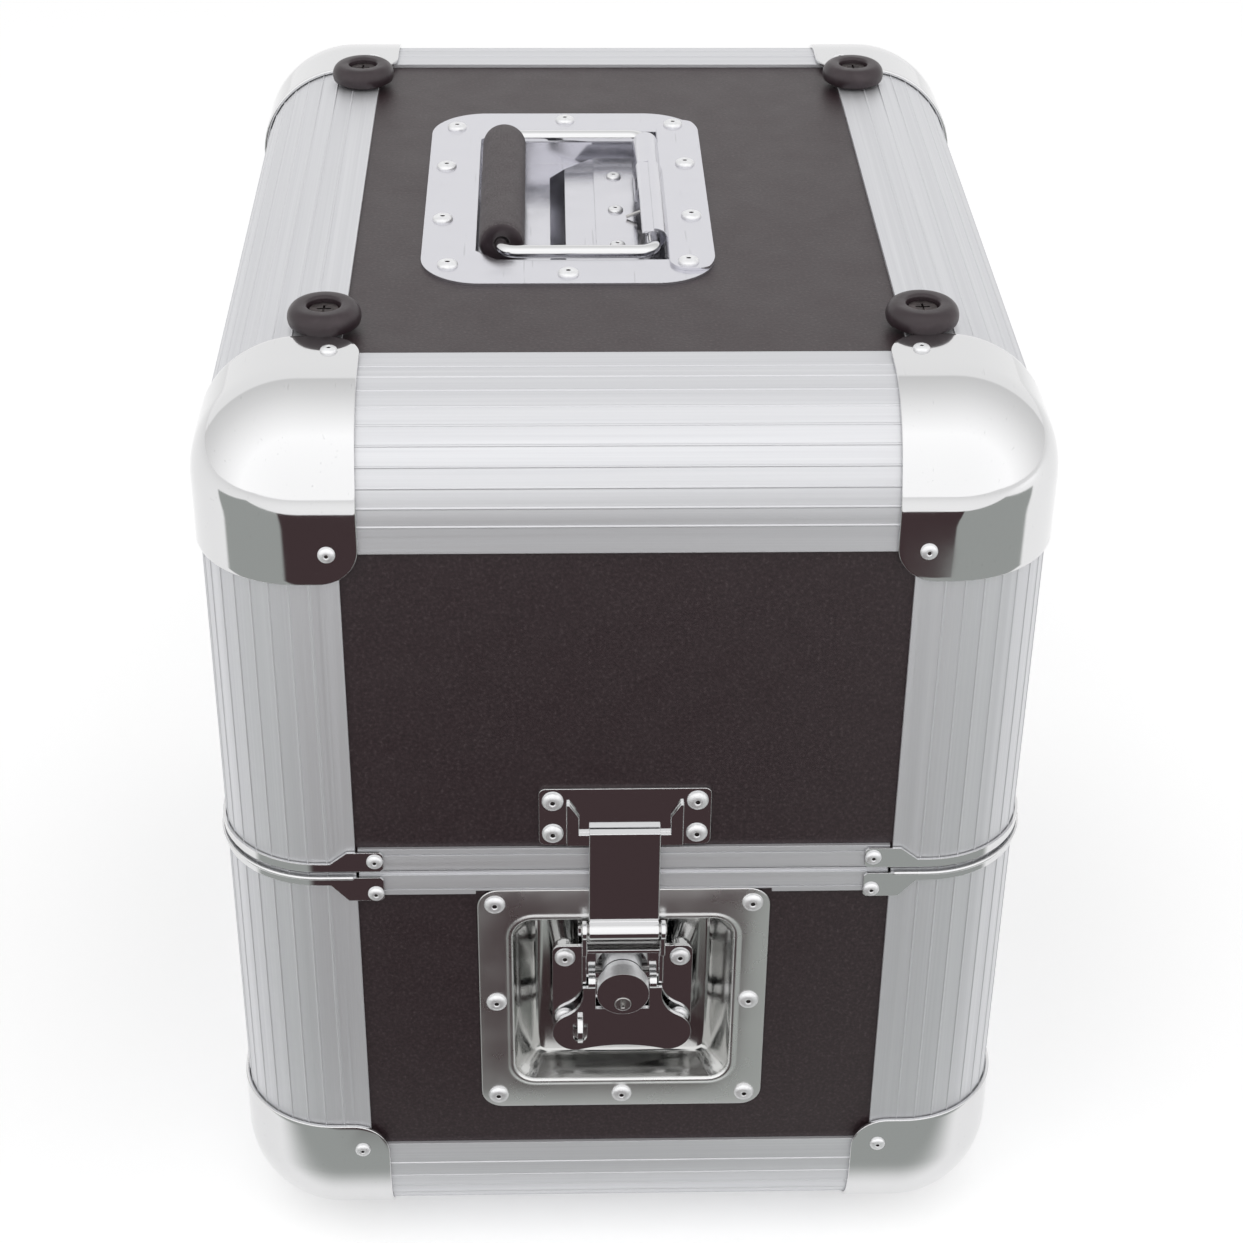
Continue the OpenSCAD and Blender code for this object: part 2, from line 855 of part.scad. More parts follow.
// A foot narrows below its bulge, where it stands beside a corner cap
module foot() {
    color("black") rotate_extrude() difference() {
        polygon([
            [0, 0], [foot_r - foot_neck, 0], [foot_r - foot_neck, foot_under],
            [foot_r - 0.7, foot_under + 0.6], [foot_r, foot_under + 1.6],
            [foot_r, foot_under + 2.4], [foot_r - 0.6, foot_h - 1.8],
            [foot_r - 1.8, foot_h - 0.6], [foot_r - 3.4, foot_h], [0, foot_h]
        ]);
        square([screw_r + rivet_fit, foot_h]);
        translate([0, foot_h - foot_recess_depth]) square([foot_recess_r, foot_h]);
    }
}

module foot_screw() {
    head_r = foot_recess_r - 0.8;
    seat = foot_h - foot_recess_depth;
    slot = 0.8;
    color("darkgray") difference() {
        union() {
            translate([0, 0, -screw_reach]) cylinder(r = screw_r, h = seat + screw_reach + 0.1);
            translate([0, 0, seat]) cylinder(r = head_r, h = screw_head_h);
        }
        for (turn = [0, 90]) rotate(turn)
            translate([-head_r / 2, -slot / 2, seat + screw_head_h - slot])
                cube([head_r, slot, over]);
    }
}

module at_feet() {
    at_corners() translate([side_x - foot_x, face_y - foot_y, half_h + rib_rise]) children();
}

module base_feet() {
    as_base() at_feet() foot();
}

module base_foot_screws() {
    as_base() at_feet() foot_screw();
}

module lid_feet() {
    as_lid() at_feet() foot();
}

module lid_foot_screws() {
    as_lid() at_feet() foot_screw();
}

// A foam sheet on the inside of an end panel, cut back round the screws of the feet
module end_pad() {
    inset = edge_leg + 1.5;
    translate([-side_x + inset, -face_y + inset, half_h - panel_back - pad_t])
        cube([case_w - 2 * inset, case_d - 2 * inset, pad_t]);
}

module base_floor_pad() {
    color("dimgray") as_base() end_pad();
}

module lid_top_pad() {
    color("dimgray") difference() {
        as_lid() end_pad();
        at_handle() slab(-panel_back - pad_t - over, over) well_outline(sheet_t + 1);
    }
}

// ---- latch: fixed parts ----

// A pressed block with sloping walls between two rounded rectangles
module tub(grow, low, high) {
    w = mouth_w + 2 * grow;
    h = mouth_h + 2 * grow;
    hull() {
        slab(high - 0.01, high) round_rect(w, h, mouth_r + grow, $fn = small_fn);
        slab(low, low + 0.01)
            round_rect(w - 2 * side_slope, h - 2 * end_slope, floor_r + grow, $fn = small_fn);
    }
}

module dish_rivet_places() {
    x = dish_w / 2 - dish_rivet_in;
    y = dish_h / 2 - dish_rivet_in;
    for (p = [[-x, y], [x, y], [-x, 0], [x, 0], [-x, -y], [0, -y], [x, -y]])
        translate([p[0], p[1], flange_front]) children();
}

module base_rivet_places() {
    for (x = [-1, 1]) for (y = [-1, 1])
        translate([x * base_rivet_x, base_plate_up + y * base_rivet_y, base_front]) children();
}

module latch_dish() {
    color("lightgray") at_latch() difference() {
        union() {
            slab(flange_back, flange_front) round_rect(dish_w, dish_h, dish_r);
            tub(sheet_t, floor_out - sheet_t, flange_front);
        }
        tub(0, floor_out, flange_front + 0.01);
        dish_rivet_places() rivet_hole(sheet_t + over);
        base_rivet_places() rivet_hole(base_front - floor_out + sheet_t + 0.2);
    }
}

module latch_rivets() {
    color("gainsboro") at_latch() {
        dish_rivet_places() plate_rivet(sheet_t + rivet_len);
        base_rivet_places() plate_rivet(base_front - floor_out + sheet_t);
    }
}

// The raised plate that carries the barrel, on four hollow bosses
module latch_base_plate() {
    color("silver") at_latch() difference() {
        union() {
            translate([0, base_plate_up, 0]) slab(base_back, base_front)
                round_rect(base_plate_w, base_plate_h, 3);
            base_rivet_places() translate([0, 0, floor_out - base_front])
                cylinder(r = boss_r, h = base_front - floor_out);
        }
        base_rivet_places() rivet_hole(base_front - floor_out + over);
        translate([0, barrel_up, base_back - over])
            cylinder(r = shaft_r + turn_fit, h = plate_t + 2 * over);
    }
}

// ---- latch: moving parts ----

module latch_barrel() {
    color("silver") at_barrel() difference() {
        union() {
            translate([0, 0, cam_back]) cylinder(r = shaft_r, h = barrel_back - cam_back + 0.1);
            translate([0, 0, barrel_back]) cylinder(r = barrel_r, h = collar_back - barrel_back + 0.1);
            translate([0, 0, collar_back]) cylinder(r = collar_r, h = collar_t);
        }
        translate([0, -plug_drop, barrel_out - plug_depth])
            cylinder(r = plug_r + turn_fit, h = plug_depth + over);
        translate([0, 0, wing_out]) rod_x(wing_pin_r + stake_fit, 4 * barrel_r);
    }
}

plug_depth = collar_t - 0.8;
plug_proud = 0.3;

module key_plug() {
    key_w = 1;
    key_l = 3.6;
    key_depth = 2;
    color("dimgray") at_barrel() translate([0, -plug_drop, 0]) difference() {
        slab(barrel_out - plug_depth + 0.1, barrel_out + plug_proud) circle(plug_r);
        slab(barrel_out + plug_proud - key_depth, barrel_out + over)
            square([key_w, key_l], center = true);
    }
}

// The groove's centre rises evenly with the angle over half a turn
function cam_point(i, shift) =
    let (a = 90 + 180 * i / cam_steps, r = cam_r0 + latch_lift * i / cam_steps + shift)
        [r * cos(a), r * sin(a)];

module latch_cam() {
    color("dimgray") at_barrel() slab(cam_back, cam_front) difference() {
        circle(cam_r);
        circle(shaft_r + stake_fit);
        polygon(concat(
            [for (i = [0 : cam_steps]) cam_point(i, -cam_slot_half)],
            [for (i = [cam_steps : -1 : 0]) cam_point(i, cam_slot_half)]
        ));
        translate(cam_point(0, 0)) circle(cam_slot_half);
        translate(cam_point(cam_steps, 0)) circle(cam_slot_half);
    }
}

module wing_pin() {
    color("gray") at_barrel() translate([0, 0, wing_out]) rod_x(wing_pin_r, 2 * lug_end);
}

// Outline of the folded wing, from its pivot at the origin downwards.
// The waist's hollow runs into the lobe without a kink.
module wing_outline() {
    lobe_r = 9;
    lobe_x = wing_half - lobe_r;
    lobe_y = lobe_r - wing_len;
    waist_r = 11.5;
    waist_x = wing_neck + waist_r;
    rise = sqrt(pow(waist_r + lobe_r, 2) - pow(waist_x - lobe_x, 2));
    waist_y = lobe_y + rise;
    part = waist_r / (waist_r + lobe_r);
    join_x = waist_x - part * (waist_x - lobe_x);
    join_y = waist_y - part * rise;
    scoop_r = 60;
    scoop = 2.4;
    difference() {
        union() {
            for (side = [0, 1]) mirror([side, 0]) {
                polygon([
                    [-0.01, -wing_lug_r], [wing_neck, -wing_lug_r], [wing_neck, waist_y],
                    [join_x, join_y], [lobe_x, lobe_y], [lobe_x, -wing_len], [-0.01, -wing_len]
                ]);
                translate([lobe_x, lobe_y]) circle(lobe_r);
            }
        }
        for (x = [-1, 1]) translate([x * waist_x, waist_y]) circle(waist_r);
        translate([0, -wing_len + scoop - scoop_r]) circle(scoop_r);
        translate([-window_half, -wing_window]) square([2 * window_half, wing_len]);
    }
}

eye_mid = 22.5;
eye_hole_r = 2.4;
eye_hole_up = 3.4;
eye_slot = 5.2;
eye_slot_past = 0.6;

module latch_wing() {
    lug_len = lug_end - window_half - 0.1;
    color("silver") at_barrel() translate([0, 0, wing_out]) difference() {
        union() {
            slab(-plate_t / 2, plate_t / 2) difference() {
                wing_outline();
                eye_slot_outline();
            }
            for (x = [-1, 1]) translate([x * (lug_end - lug_len / 2), 0, 0]) {
                rod_x(wing_lug_r, lug_len);
                translate([-lug_len / 2, -wing_lug_r - over, -plate_t / 2])
                    cube([lug_len, wing_lug_r + over, plate_t]);
            }
            padlock_eye();
        }
        rod_x(wing_pin_r + turn_fit, 4 * wing_neck);
    }
}

// Upright eye for a padlock, bent out of a slot in the left lobe
module padlock_eye() {
    translate([-eye_x, -eye_mid, 0]) rotate([90, 0, 90])
        linear_extrude(eye_t, center = true) difference() {
            intersection() {
                circle(eye_r);
                translate([-eye_r, 0]) square([2 * eye_r, eye_r]);
            }
            translate([0, eye_hole_up]) circle(eye_hole_r);
        }
}

module eye_slot_outline() {
    low = -eye_mid - eye_r - eye_slot_past + eye_slot / 2;
    high = -eye_mid + eye_slot / 2 - 1;
    translate([-eye_x - eye_slot / 2, low]) square([eye_slot, high - low]);
    translate([-eye_x, low]) circle(eye_slot / 2);
}

// The slide that the cam drives, with arms that reach out to the hook's pin
module draw_link() {
    flange_y = barrel_up - 2.5;
    color("silver") at_latch() difference() {
        union() {
            slab(link_back, link_front)
                translate([-link_half, barrel_up + 5])
                    square([2 * link_half, arm_y + arm_t - barrel_up - 5]);
            translate([-ear_in - ear_t, arm_y, link_back])
                cube([2 * (ear_in + ear_t), arm_t, ear_back + ear_t - link_back]);
            for (x = [-1, 1]) translate([x * (ear_in + ear_t / 2), 0, 0]) {
                rotate([0, 90, 0]) linear_extrude(ear_t, center = true) ear_outline();
                translate([-ear_t / 2, flange_y, barrel_back])
                    cube([ear_t, arm_y + arm_t - flange_y, flange_t]);
            }
            translate([0, barrel_up + cam_r0, link_front - 0.1])
                cylinder(r = follower_r, h = cam_t + slide_gap);
        }
        translate([0, pin_up, pin_out]) rod_x(pin_r + stake_fit, 4 * hook_half);
    }
}

// Side view of an ear: X is the distance into the case, Y the height
module ear_outline() {
    translate([-pin_out, pin_up]) circle(ear_r);
    translate([-pin_out, arm_y]) square([ear_r, pin_up - arm_y]);
}

module hook_pin() {
    color("gray") at_latch() translate([0, pin_up, pin_out])
        rod_x(pin_r, 2 * (ear_in + ear_t + 0.3));
}

module hook() {
    color("silver") at_latch() difference() {
        union() {
            translate([0, pin_up, pin_out]) rod_x(pin_r + turn_fit + knuckle_wall, 2 * hook_half);
            slab(hook_back, hook_front) translate([-hook_half, pin_up])
                square([2 * hook_half, hook_top - pin_up]);
            slab(flange_front + 0.4, hook_front) translate([-hook_half, hook_top - lip_of_hook])
                square([2 * hook_half, lip_of_hook]);
        }
        translate([0, pin_up, pin_out]) rod_x(pin_r + turn_fit, 4 * hook_half);
    }
}

// ---- keeper ----

module keeper_rivet_places() {
    for (x = [-1, 1]) for (y = [-1, 1])
        translate([x * keeper_rivet_x, keeper_mid + y * keeper_rivet_y, flange_front]) children();
}

// The pressed frame: a ledge for the hook's lip between two chamfered ribs
module keeper_frame_outline() {
    inner = hook_half + 3.7;
    outer = inner + 4.4;
    low = keeper_low + 0.8;
    high = keeper_low + keeper_h - 6;
    for (side = [0, 1]) mirror([side, 0]) {
        translate([-0.01, low]) square([inner + 0.02, ledge_top - low]);
        polygon([
            [inner, low], [outer, low], [outer, high], [outer - 1, high],
            [inner, high - 5.4]
        ]);
    }
}

module keeper_plate() {
    color("silver") at_latch() difference() {
        union() {
            slab(flange_back, flange_front) translate([0, keeper_mid])
                round_rect(2 * keeper_half, keeper_h, 2.5);
            slab(flange_front - 0.1, flange_front + ledge_rise) keeper_frame_outline();
        }
        keeper_rivet_places() rivet_hole(sheet_t + over);
    }
}

module keeper_rivets() {
    color("gainsboro") at_latch() keeper_rivet_places() plate_rivet(sheet_t + rivet_len);
}

// ---- hinges ----

leaf_rivet_x = hinge_l / 2 - 9;
leaf_rivet_low = strip_h + 7;
leaf_rivet_high = leaf_h - 5;
knuckle_l = hinge_l / 3 - knuckle_gap;

// Seats of the rivets through both leaves of a half, on the back
module leaf_rivet_places(out = 0) {
    for (side = [-1, 1]) for (x = [-1, 1]) for (z = [leaf_rivet_low, leaf_rivet_high])
        on_back(side * hinge_x + x * leaf_rivet_x, z, out) children();
}

// Section of a leaf: X is the distance out of the back, Y the height above the seam
module leaf_section(low) {
    translate([0, low]) square([leaf_t, leaf_h - low]);
    translate([-panel_in, strip_h + 0.5]) square([panel_in + over, leaf_h - strip_h - 0.5]);
}

module leaf_run(length, low) {
    rotate([90, 0, 90]) linear_extrude(length, center = true)
        translate([face_y, 0]) leaf_section(low);
}

// A knuckle with the arm that carries it, round the pin behind the seam
module knuckle(length) {
    translate([0, hinge_y, 0]) rod_x(knuckle_r, length);
    translate([-length / 2, face_y, rim]) cube([length, knuckle_out, knuckle_r - rim]);
}

module hinge_leaf(middle) {
    clear = 3.2;
    places = middle ? [0] : [-1, 1];
    difference() {
        union() {
            leaf_run(hinge_l, clear);
            for (i = places) translate([i * hinge_l / 3, 0, 0]) {
                leaf_run(knuckle_l, rim);
                knuckle(knuckle_l);
            }
        }
        translate([0, hinge_y, 0]) rod_x(hinge_pin_r + turn_fit, hinge_l + over);
    }
}

module hinge_leaves(middle) {
    color("lightgray") difference() {
        for (side = [-1, 1]) translate([side * hinge_x, 0, 0]) hinge_leaf(middle);
        leaf_rivet_places() rivet_hole(leaf_t + panel_in + over);
    }
}

module hinge_base_leaves() {
    as_base() hinge_leaves(false);
}

module hinge_lid_leaves() {
    as_lid() hinge_leaves(true);
}

module hinge_pins() {
    color("gray") for (side = [-1, 1])
        translate([side * hinge_x, hinge_y, split_z]) rod_x(hinge_pin_r, hinge_l);
}

// ---- handle ----

// The dish's opening, grown outwards; its left corners are cut off
module well_outline(grow) {
    cut = 8;
    left = -well_left - grow;
    right = well_right + grow;
    half = well_half + grow;
    polygon([
        [left + cut, -half], [right, -half], [right, half], [left + cut, half],
        [left, half - cut], [left, -half + cut]
    ]);
}

// The raised platform's outline, with cut left corners
module platform_outline(left, half, grow) {
    cut = 10;
    polygon([
        [left - grow + cut, -half - grow], [well_right + grow, -half - grow],
        [well_right + grow, half + grow], [left - grow + cut, half + grow],
        [left - grow, half + grow - cut], [left - grow, -half - grow + cut]
    ]);
}

handle_rivet_side = 7;
handle_rivet_end = 7.8;
handle_rivet_corner = [10, 15.5];
handle_rivet_y = 25.5;
strip_rivet_in = 20;
platform_left = -0.5;
platform_half = well_half - 8;
platform_slope = 7;

// The platform's solid above the deep floor, with its sloping flank
module platform(low, top, shrink) {
    hull() {
        slab(top - 0.01, top) platform_outline(platform_left + shrink, platform_half, -shrink);
        slab(low, low + 0.01) platform_outline(platform_left - platform_slope + shrink,
            platform_half + 4, -shrink);
    }
}

module handle_rivet_places() {
    side = handle_w / 2 - handle_rivet_side;
    corner = [handle_w / 2 - handle_rivet_corner[0], handle_l / 2 - handle_rivet_corner[1]];
    end = [0, handle_l / 2 - handle_rivet_end];
    for (p = [[-side, handle_rivet_y], [side, handle_rivet_y], [-corner[0], corner[1]], corner, end])
        for (y = [-1, 1]) {
            raised = p[0] > axle_x ? sheet_t : 0;
            translate([p[0], y * p[1], flange_front + raised]) children();
        }
}

module strip_rivet_places() {
    for (i = [-1 : 1])
        translate([strip_x, i * (strip_l / 2 - strip_rivet_in), platform_top + sheet_t])
            children();
}

module handle_dish() {
    color("lightgray") at_handle() difference() {
        union() {
            slab(flange_back, flange_front) round_rect(handle_w, handle_l, handle_r);
            slab(well_floor - sheet_t, flange_front) well_outline(sheet_t);
        }
        difference() {
            slab(well_floor, over) well_outline(0);
            platform(well_floor - over, platform_top, 0);
        }
        platform(well_floor - sheet_t - over, platform_top - sheet_t, sheet_t);
        handle_rivet_places() rivet_hole(2 * sheet_t + over);
        strip_rivet_places() rivet_hole(sheet_t + 2 * over);
    }
}

strip_x = 19;
strip_w = 16;
strip_l = 106;

module handle_strip() {
    color("lightgray") at_handle() difference() {
        slab(platform_top, platform_top + sheet_t) translate([strip_x, 0])
            square([strip_w, strip_l], center = true);
        strip_rivet_places() rivet_hole(sheet_t + over);
    }
}

module handle_rivets() {
    color("gainsboro") at_handle() {
        handle_rivet_places() plate_rivet(2 * sheet_t + rivet_len);
        strip_rivet_places() rivet(sheet_t + 1.5);
    }
}

// Section of the cover's hood round the axle at the origin, as an arch on two legs.
// The left leg ends at the given height, the right one on the dish's flange.
module hood_section(r_in, left_low) {
    r_out = r_in + sheet_t;
    leg = 4;
    intersection() {
        difference() {
            union() {
                circle(r_out);
                translate([-r_out, -leg]) square([2 * r_out, leg]);
            }
            circle(r_in);
            translate([-r_in, -leg - over]) square([2 * r_in, leg + over]);
        }
        union() {
            translate([0, flange_front]) square(r_out + over);
            translate([-r_out - over, left_low]) square([r_out + 2 * over, r_out + over]);
        }
    }
}

// A stretch of the cover along the axle
module along_axle(y0, y1) {
    translate([axle_x, (y0 + y1) / 2, 0]) along_y(y1 - y0) children();
}

module bearing_ring(r_out) {
    difference() {
        circle(r_out);
        circle(wire_r + turn_fit);
    }
}

// The plate over the axle, raised to a hood that is wider round the spring
module handle_cover() {
    right = handle_w / 2;
    left = axle_x + hood_in + sheet_t / 2;
    color("lightgray") at_handle() difference() {
        union() {
            slab(flange_front, flange_front + sheet_t) intersection() {
                round_rect(handle_w, handle_l, handle_r);
                translate([(left + right) / 2, 0])
                    round_rect(right - left, 2 * cover_half, cover_corner);
            }
            along_axle(-hood_half, hood_step) hood_section(hood_in, -2);
            along_axle(hood_step, hood_half) {
                hood_section(throat_in, -1);
                bearing_ring(throat_in + 0.1);
                translate([hood_in, flange_front]) square([sheet_t, sheet_t]);
            }
            along_axle(ring_in - hood_half, ring_in + ring_w - hood_half)
                bearing_ring(hood_in + 0.1);
        }
        translate([axle_x - 2 * hood_in, -hood_half - over, 0.8 * hood_in - leg_cut])
            cube([2 * hood_in - wire_r - 0.1, hood_half + over + skirt_end, leg_cut]);
        handle_rivet_places() rivet_hole(2 * sheet_t + over);
    }
}

// A closed wire loop: axle, two bends, two arms, two bends and the core of the grip
module handle_bail() {
    core = 2 * (bail_half - bend_r);
    arm = bail_reach - 2 * bend_r;
    color("gainsboro") at_handle() {
        translate([axle_x, 0, 0]) rod_y(wire_r, core);
        translate([grip_x, 0, 0]) rod_y(wire_r, core);
        for (side = [0, 1]) mirror([0, side, 0]) {
            translate([(axle_x + grip_x) / 2, bail_half, 0]) rod_x(wire_r, arm);
            translate([axle_x - bend_r, bail_half - bend_r, 0]) wire_bend();
            translate([grip_x + bend_r, bail_half - bend_r, 0]) mirror([1, 0, 0]) wire_bend();
        }
    }
}

module wire_bend() {
    rotate_extrude(angle = 90) translate([bend_r, 0]) circle(wire_r, $fn = small_fn);
}

module handle_grip() {
    color([0.2, 0.18, 0.18]) at_handle() translate([grip_x, 0, 0]) difference() {
        rod_y(grip_r, grip_l);
        rod_y(wire_r + turn_fit, grip_l + over);
    }
}

// ---- spring ----

spring_sides = 6;
ring_steps = 8;
leg_steps = 3;
leg_l = 9;
leg_drop = -platform_top - sheet_t - coil_r - coil_wire_r - 0.1;
tail_l = 1.5;
coil_rings = coil_turns * ring_steps;

// Centre line of the spring: a straight leg, the turns, a straight leg.
// The turns run round the axle, which lies along Y.
function coil_at(i) =
    let (a = 360 * i / ring_steps)
        [coil_r * sin(a), coil_start + coil_pitch * i / ring_steps, -coil_r * cos(a)];

function spring_path() = concat(
    [for (i = [leg_steps : -1 : 1]) coil_at(0) - i / leg_steps * [leg_l, 0, leg_drop]],
    [for (i = [0 : coil_rings]) coil_at(i)],
    [for (i = [1 : leg_steps]) coil_at(coil_rings) + [tail_l * i / leg_steps, 0, 0]]
);

// Least gap between turns, from the points of two rings nearly a turn apart or more
function least_gap(path) =
    min([for (i = [0 : len(path) - 1]) for (j = [i + ring_steps - 1 : 1 : len(path) - 1])
        norm(path[i] - path[j])]) - 2 * coil_wire_r;

function unit(v) = v / norm(v);

function path_dir(path, i) =
    unit(path[min(i + 1, len(path) - 1)] - path[max(i - 1, 0)]);

// The rings stay square to the path; Y is never along it, so it sets their turn
function path_ring(path, i) =
    let (d = path_dir(path, i), a = unit(cross(d, [0, 1, 0])), b = cross(a, d))
        [for (k = [0 : spring_sides - 1])
            path[i] + coil_wire_r * (cos(360 * k / spring_sides) * a
                + sin(360 * k / spring_sides) * b)];

module handle_spring() {
    path = spring_path();
    count = len(path);
    points = [for (i = [0 : count - 1]) each path_ring(path, i)];
    walls = [for (i = [0 : count - 2]) for (k = [0 : spring_sides - 1])
        let (n = (k + 1) % spring_sides, p = i * spring_sides)
            each [[p + k, p + n, p + k + spring_sides], [p + n, p + n + spring_sides, p + k + spring_sides]]];
    first = [for (k = [1 : spring_sides - 2]) [0, k + 1, k]];
    end = (count - 1) * spring_sides;
    last = [for (k = [1 : spring_sides - 2]) [end, end + k, end + k + 1]];
    echo(spring_least_gap = least_gap(path));
    color("gray") at_handle() translate([axle_x, 0, 0])
        polyhedron(points, concat(walls, first, last));
}

// ---- the parts ----

base_front_panel();
base_back_panel();
base_left_panel();
base_right_panel();
base_bottom_panel();
as_base() front_edge();  // base_front_edge
as_base() back_edge();  // base_back_edge
as_base() left_edge();  // base_left_edge
as_base() right_edge();  // base_right_edge
as_base() upright_edges();  // base_upright_edges
base_corner_caps();
base_corner_braces();
base_closing_strips();
base_rivets();
base_floor_pad();
base_feet();
base_foot_screws();
latch_dish();
latch_rivets();
latch_base_plate();
latch_barrel();
latch_cam();
wing_pin();
latch_wing();
key_plug();
draw_link();
hook_pin();
hook();
hinge_base_leaves();
hinge_pins();
lid_front_panel();
lid_back_panel();
lid_left_panel();
lid_right_panel();
lid_top_panel();
as_lid() front_edge();  // lid_front_edge
as_lid() back_edge();  // lid_back_edge
as_lid() left_edge();  // lid_left_edge
as_lid() right_edge();  // lid_right_edge
as_lid() upright_edges();  // lid_upright_edges
lid_corner_caps();
lid_corner_braces();
lid_closing_strips();
lid_rivets();
lid_top_pad();
lid_feet();
lid_foot_screws();
keeper_plate();
keeper_rivets();
hinge_lid_leaves();
handle_dish();
handle_rivets();
handle_cover();
handle_strip();
handle_spring();
handle_bail();
handle_grip();
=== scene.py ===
"""Looks of the record carrying case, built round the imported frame.

The scene is in metres with +Z up. Pieces are modelled in millimetres.
"""

import json
import math

import bmesh
import bpy
import numpy as np
from mathutils import Matrix, Vector


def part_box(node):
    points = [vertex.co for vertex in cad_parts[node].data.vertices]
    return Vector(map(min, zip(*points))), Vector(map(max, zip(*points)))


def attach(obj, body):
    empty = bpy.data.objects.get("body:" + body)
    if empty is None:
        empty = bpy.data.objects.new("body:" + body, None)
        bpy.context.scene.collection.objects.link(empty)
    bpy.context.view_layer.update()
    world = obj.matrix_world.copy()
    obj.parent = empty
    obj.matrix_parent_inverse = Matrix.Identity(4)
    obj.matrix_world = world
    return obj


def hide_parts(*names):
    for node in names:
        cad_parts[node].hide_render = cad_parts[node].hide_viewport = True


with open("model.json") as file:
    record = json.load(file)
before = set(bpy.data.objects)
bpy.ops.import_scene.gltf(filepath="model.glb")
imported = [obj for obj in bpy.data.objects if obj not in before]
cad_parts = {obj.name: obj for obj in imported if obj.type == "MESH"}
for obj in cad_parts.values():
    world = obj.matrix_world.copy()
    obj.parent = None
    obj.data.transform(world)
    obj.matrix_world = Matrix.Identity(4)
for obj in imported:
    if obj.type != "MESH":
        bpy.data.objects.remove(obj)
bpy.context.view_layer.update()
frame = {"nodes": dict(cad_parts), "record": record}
NODES = frame["nodes"]
SCENE = bpy.context.scene
MM = 0.001

# Sizes shared with the source, in millimetres
W, D, HALF, STAND = 295.0, 376.0, 185.0, 8.5
SPLIT = STAND + HALF
EDGE_R = 37.0
SIDE_X, FACE_Y = W / 2, D / 2


# ---- materials ----


class Shader:
    """A Principled material and short ways to add nodes to it."""

    def __init__(self, name, color, metallic=0.0, roughness=0.5):
        self.mat = bpy.data.materials.new(name)
        self.mat.use_nodes = True
        self.nodes = self.mat.node_tree.nodes
        self.links = self.mat.node_tree.links
        self.bsdf = self.nodes["Principled BSDF"]
        self.set("Base Color", (*color, 1.0))
        self.set("Metallic", metallic)
        self.set("Roughness", roughness)
        self.place = self.nodes.new("ShaderNodeTexCoord").outputs["Object"]

    def set(self, socket, value):
        self.bsdf.inputs[socket].default_value = value

    def made(self, kind, **sockets):
        """A node with some of its inputs set, where from_min means From Min."""
        node = self.nodes.new(kind)
        for key, value in sockets.items():
            node.inputs[key.replace("_", " ").title()].default_value = value
        return node

    def link(self, a, b):
        self.links.new(a, b)

    def stretched(self, scale):
        node = self.made("ShaderNodeMapping", scale=scale)
        self.link(self.place, node.inputs["Vector"])
        return node.outputs["Vector"]

    def noise(self, scale, detail=3.0, where=None):
        node = self.made("ShaderNodeTexNoise", scale=scale, detail=detail, roughness=0.55)
        self.link(where or self.place, node.inputs["Vector"])
        return node.outputs["Fac"]

    def ramp(self, fac, stops):
        node = self.nodes.new("ShaderNodeValToRGB")
        band = node.color_ramp
        while len(band.elements) < len(stops):
            band.elements.new(0.5)
        for e, (at, color) in zip(band.elements, stops):
            e.position = at
            e.color = (*color, 1.0)
        self.link(fac, node.inputs["Fac"])
        return node.outputs["Color"]

    def span(self, fac, low, high, start=0.25, end=0.75):
        node = self.made("ShaderNodeMapRange", from_min=start, from_max=end, to_min=low, to_max=high)
        self.link(fac, node.inputs["Value"])
        return node.outputs["Result"]

    def mixed(self, fac, a, b):
        """Colour a where fac is 0, b where it is 1. Either may be a colour or an output."""
        node = self.nodes.new("ShaderNodeMix")
        node.data_type = "RGBA"
        self.link(fac, node.inputs["Factor"])
        for socket, value in ((node.inputs[6], a), (node.inputs[7], b)):
            if isinstance(value, tuple):
                socket.default_value = (*value, 1.0)
            else:
                self.link(value, socket)
        return node.outputs[2]

    def color(self, output):
        self.link(output, self.bsdf.inputs["Base Color"])

    def rough(self, output):
        self.link(output, self.bsdf.inputs["Roughness"])

    def bump(self, height, strength, distance, edge=0.0):
        """Small relief, over edges rounded by the given radius."""
        node = self.made("ShaderNodeBump", strength=strength, distance=distance)
        self.link(height, node.inputs["Height"])
        if edge:
            soft = self.made("ShaderNodeBevel", radius=edge)
            soft.samples = 4
            self.link(soft.outputs["Normal"], node.inputs["Normal"])
        self.link(node.outputs["Normal"], self.bsdf.inputs["Normal"])

    def scratches(self, scale, share):
        """Thin hair lines in one slanted direction, 0 or 1."""
        lines = self.noise(1.0, 2.0, self.stretched((scale, scale * 0.04, scale * 0.7)))
        return self.span(lines, 0.0, 1.0, 1.0 - share, 1.04 - share)


def laminate():
    """Dark brown laminate with a fine pebbled face and pale specks."""
    s = Shader("laminate", (0.026, 0.016, 0.018), roughness=0.44)
    s.set("Specular IOR Level", 0.62)
    grain = s.noise(820.0, 3.0)
    cloud = s.noise(28.0, 3.0)
    specks = s.ramp(grain, [(0.3, (0.013, 0.006, 0.0078)), (0.5, (0.023, 0.0115, 0.0142)),
                            (0.62, (0.033, 0.0195, 0.0225)), (0.75, (0.06, 0.042, 0.045))])
    s.color(s.mixed(s.span(cloud, 0.0, 0.2), specks, (0.027, 0.0145, 0.017)))
    s.rough(s.span(s.noise(70.0, 4.0), 0.42, 0.49))
    s.bump(s.noise(1150.0, 3.0), 0.4, 0.00016)
    return s.mat


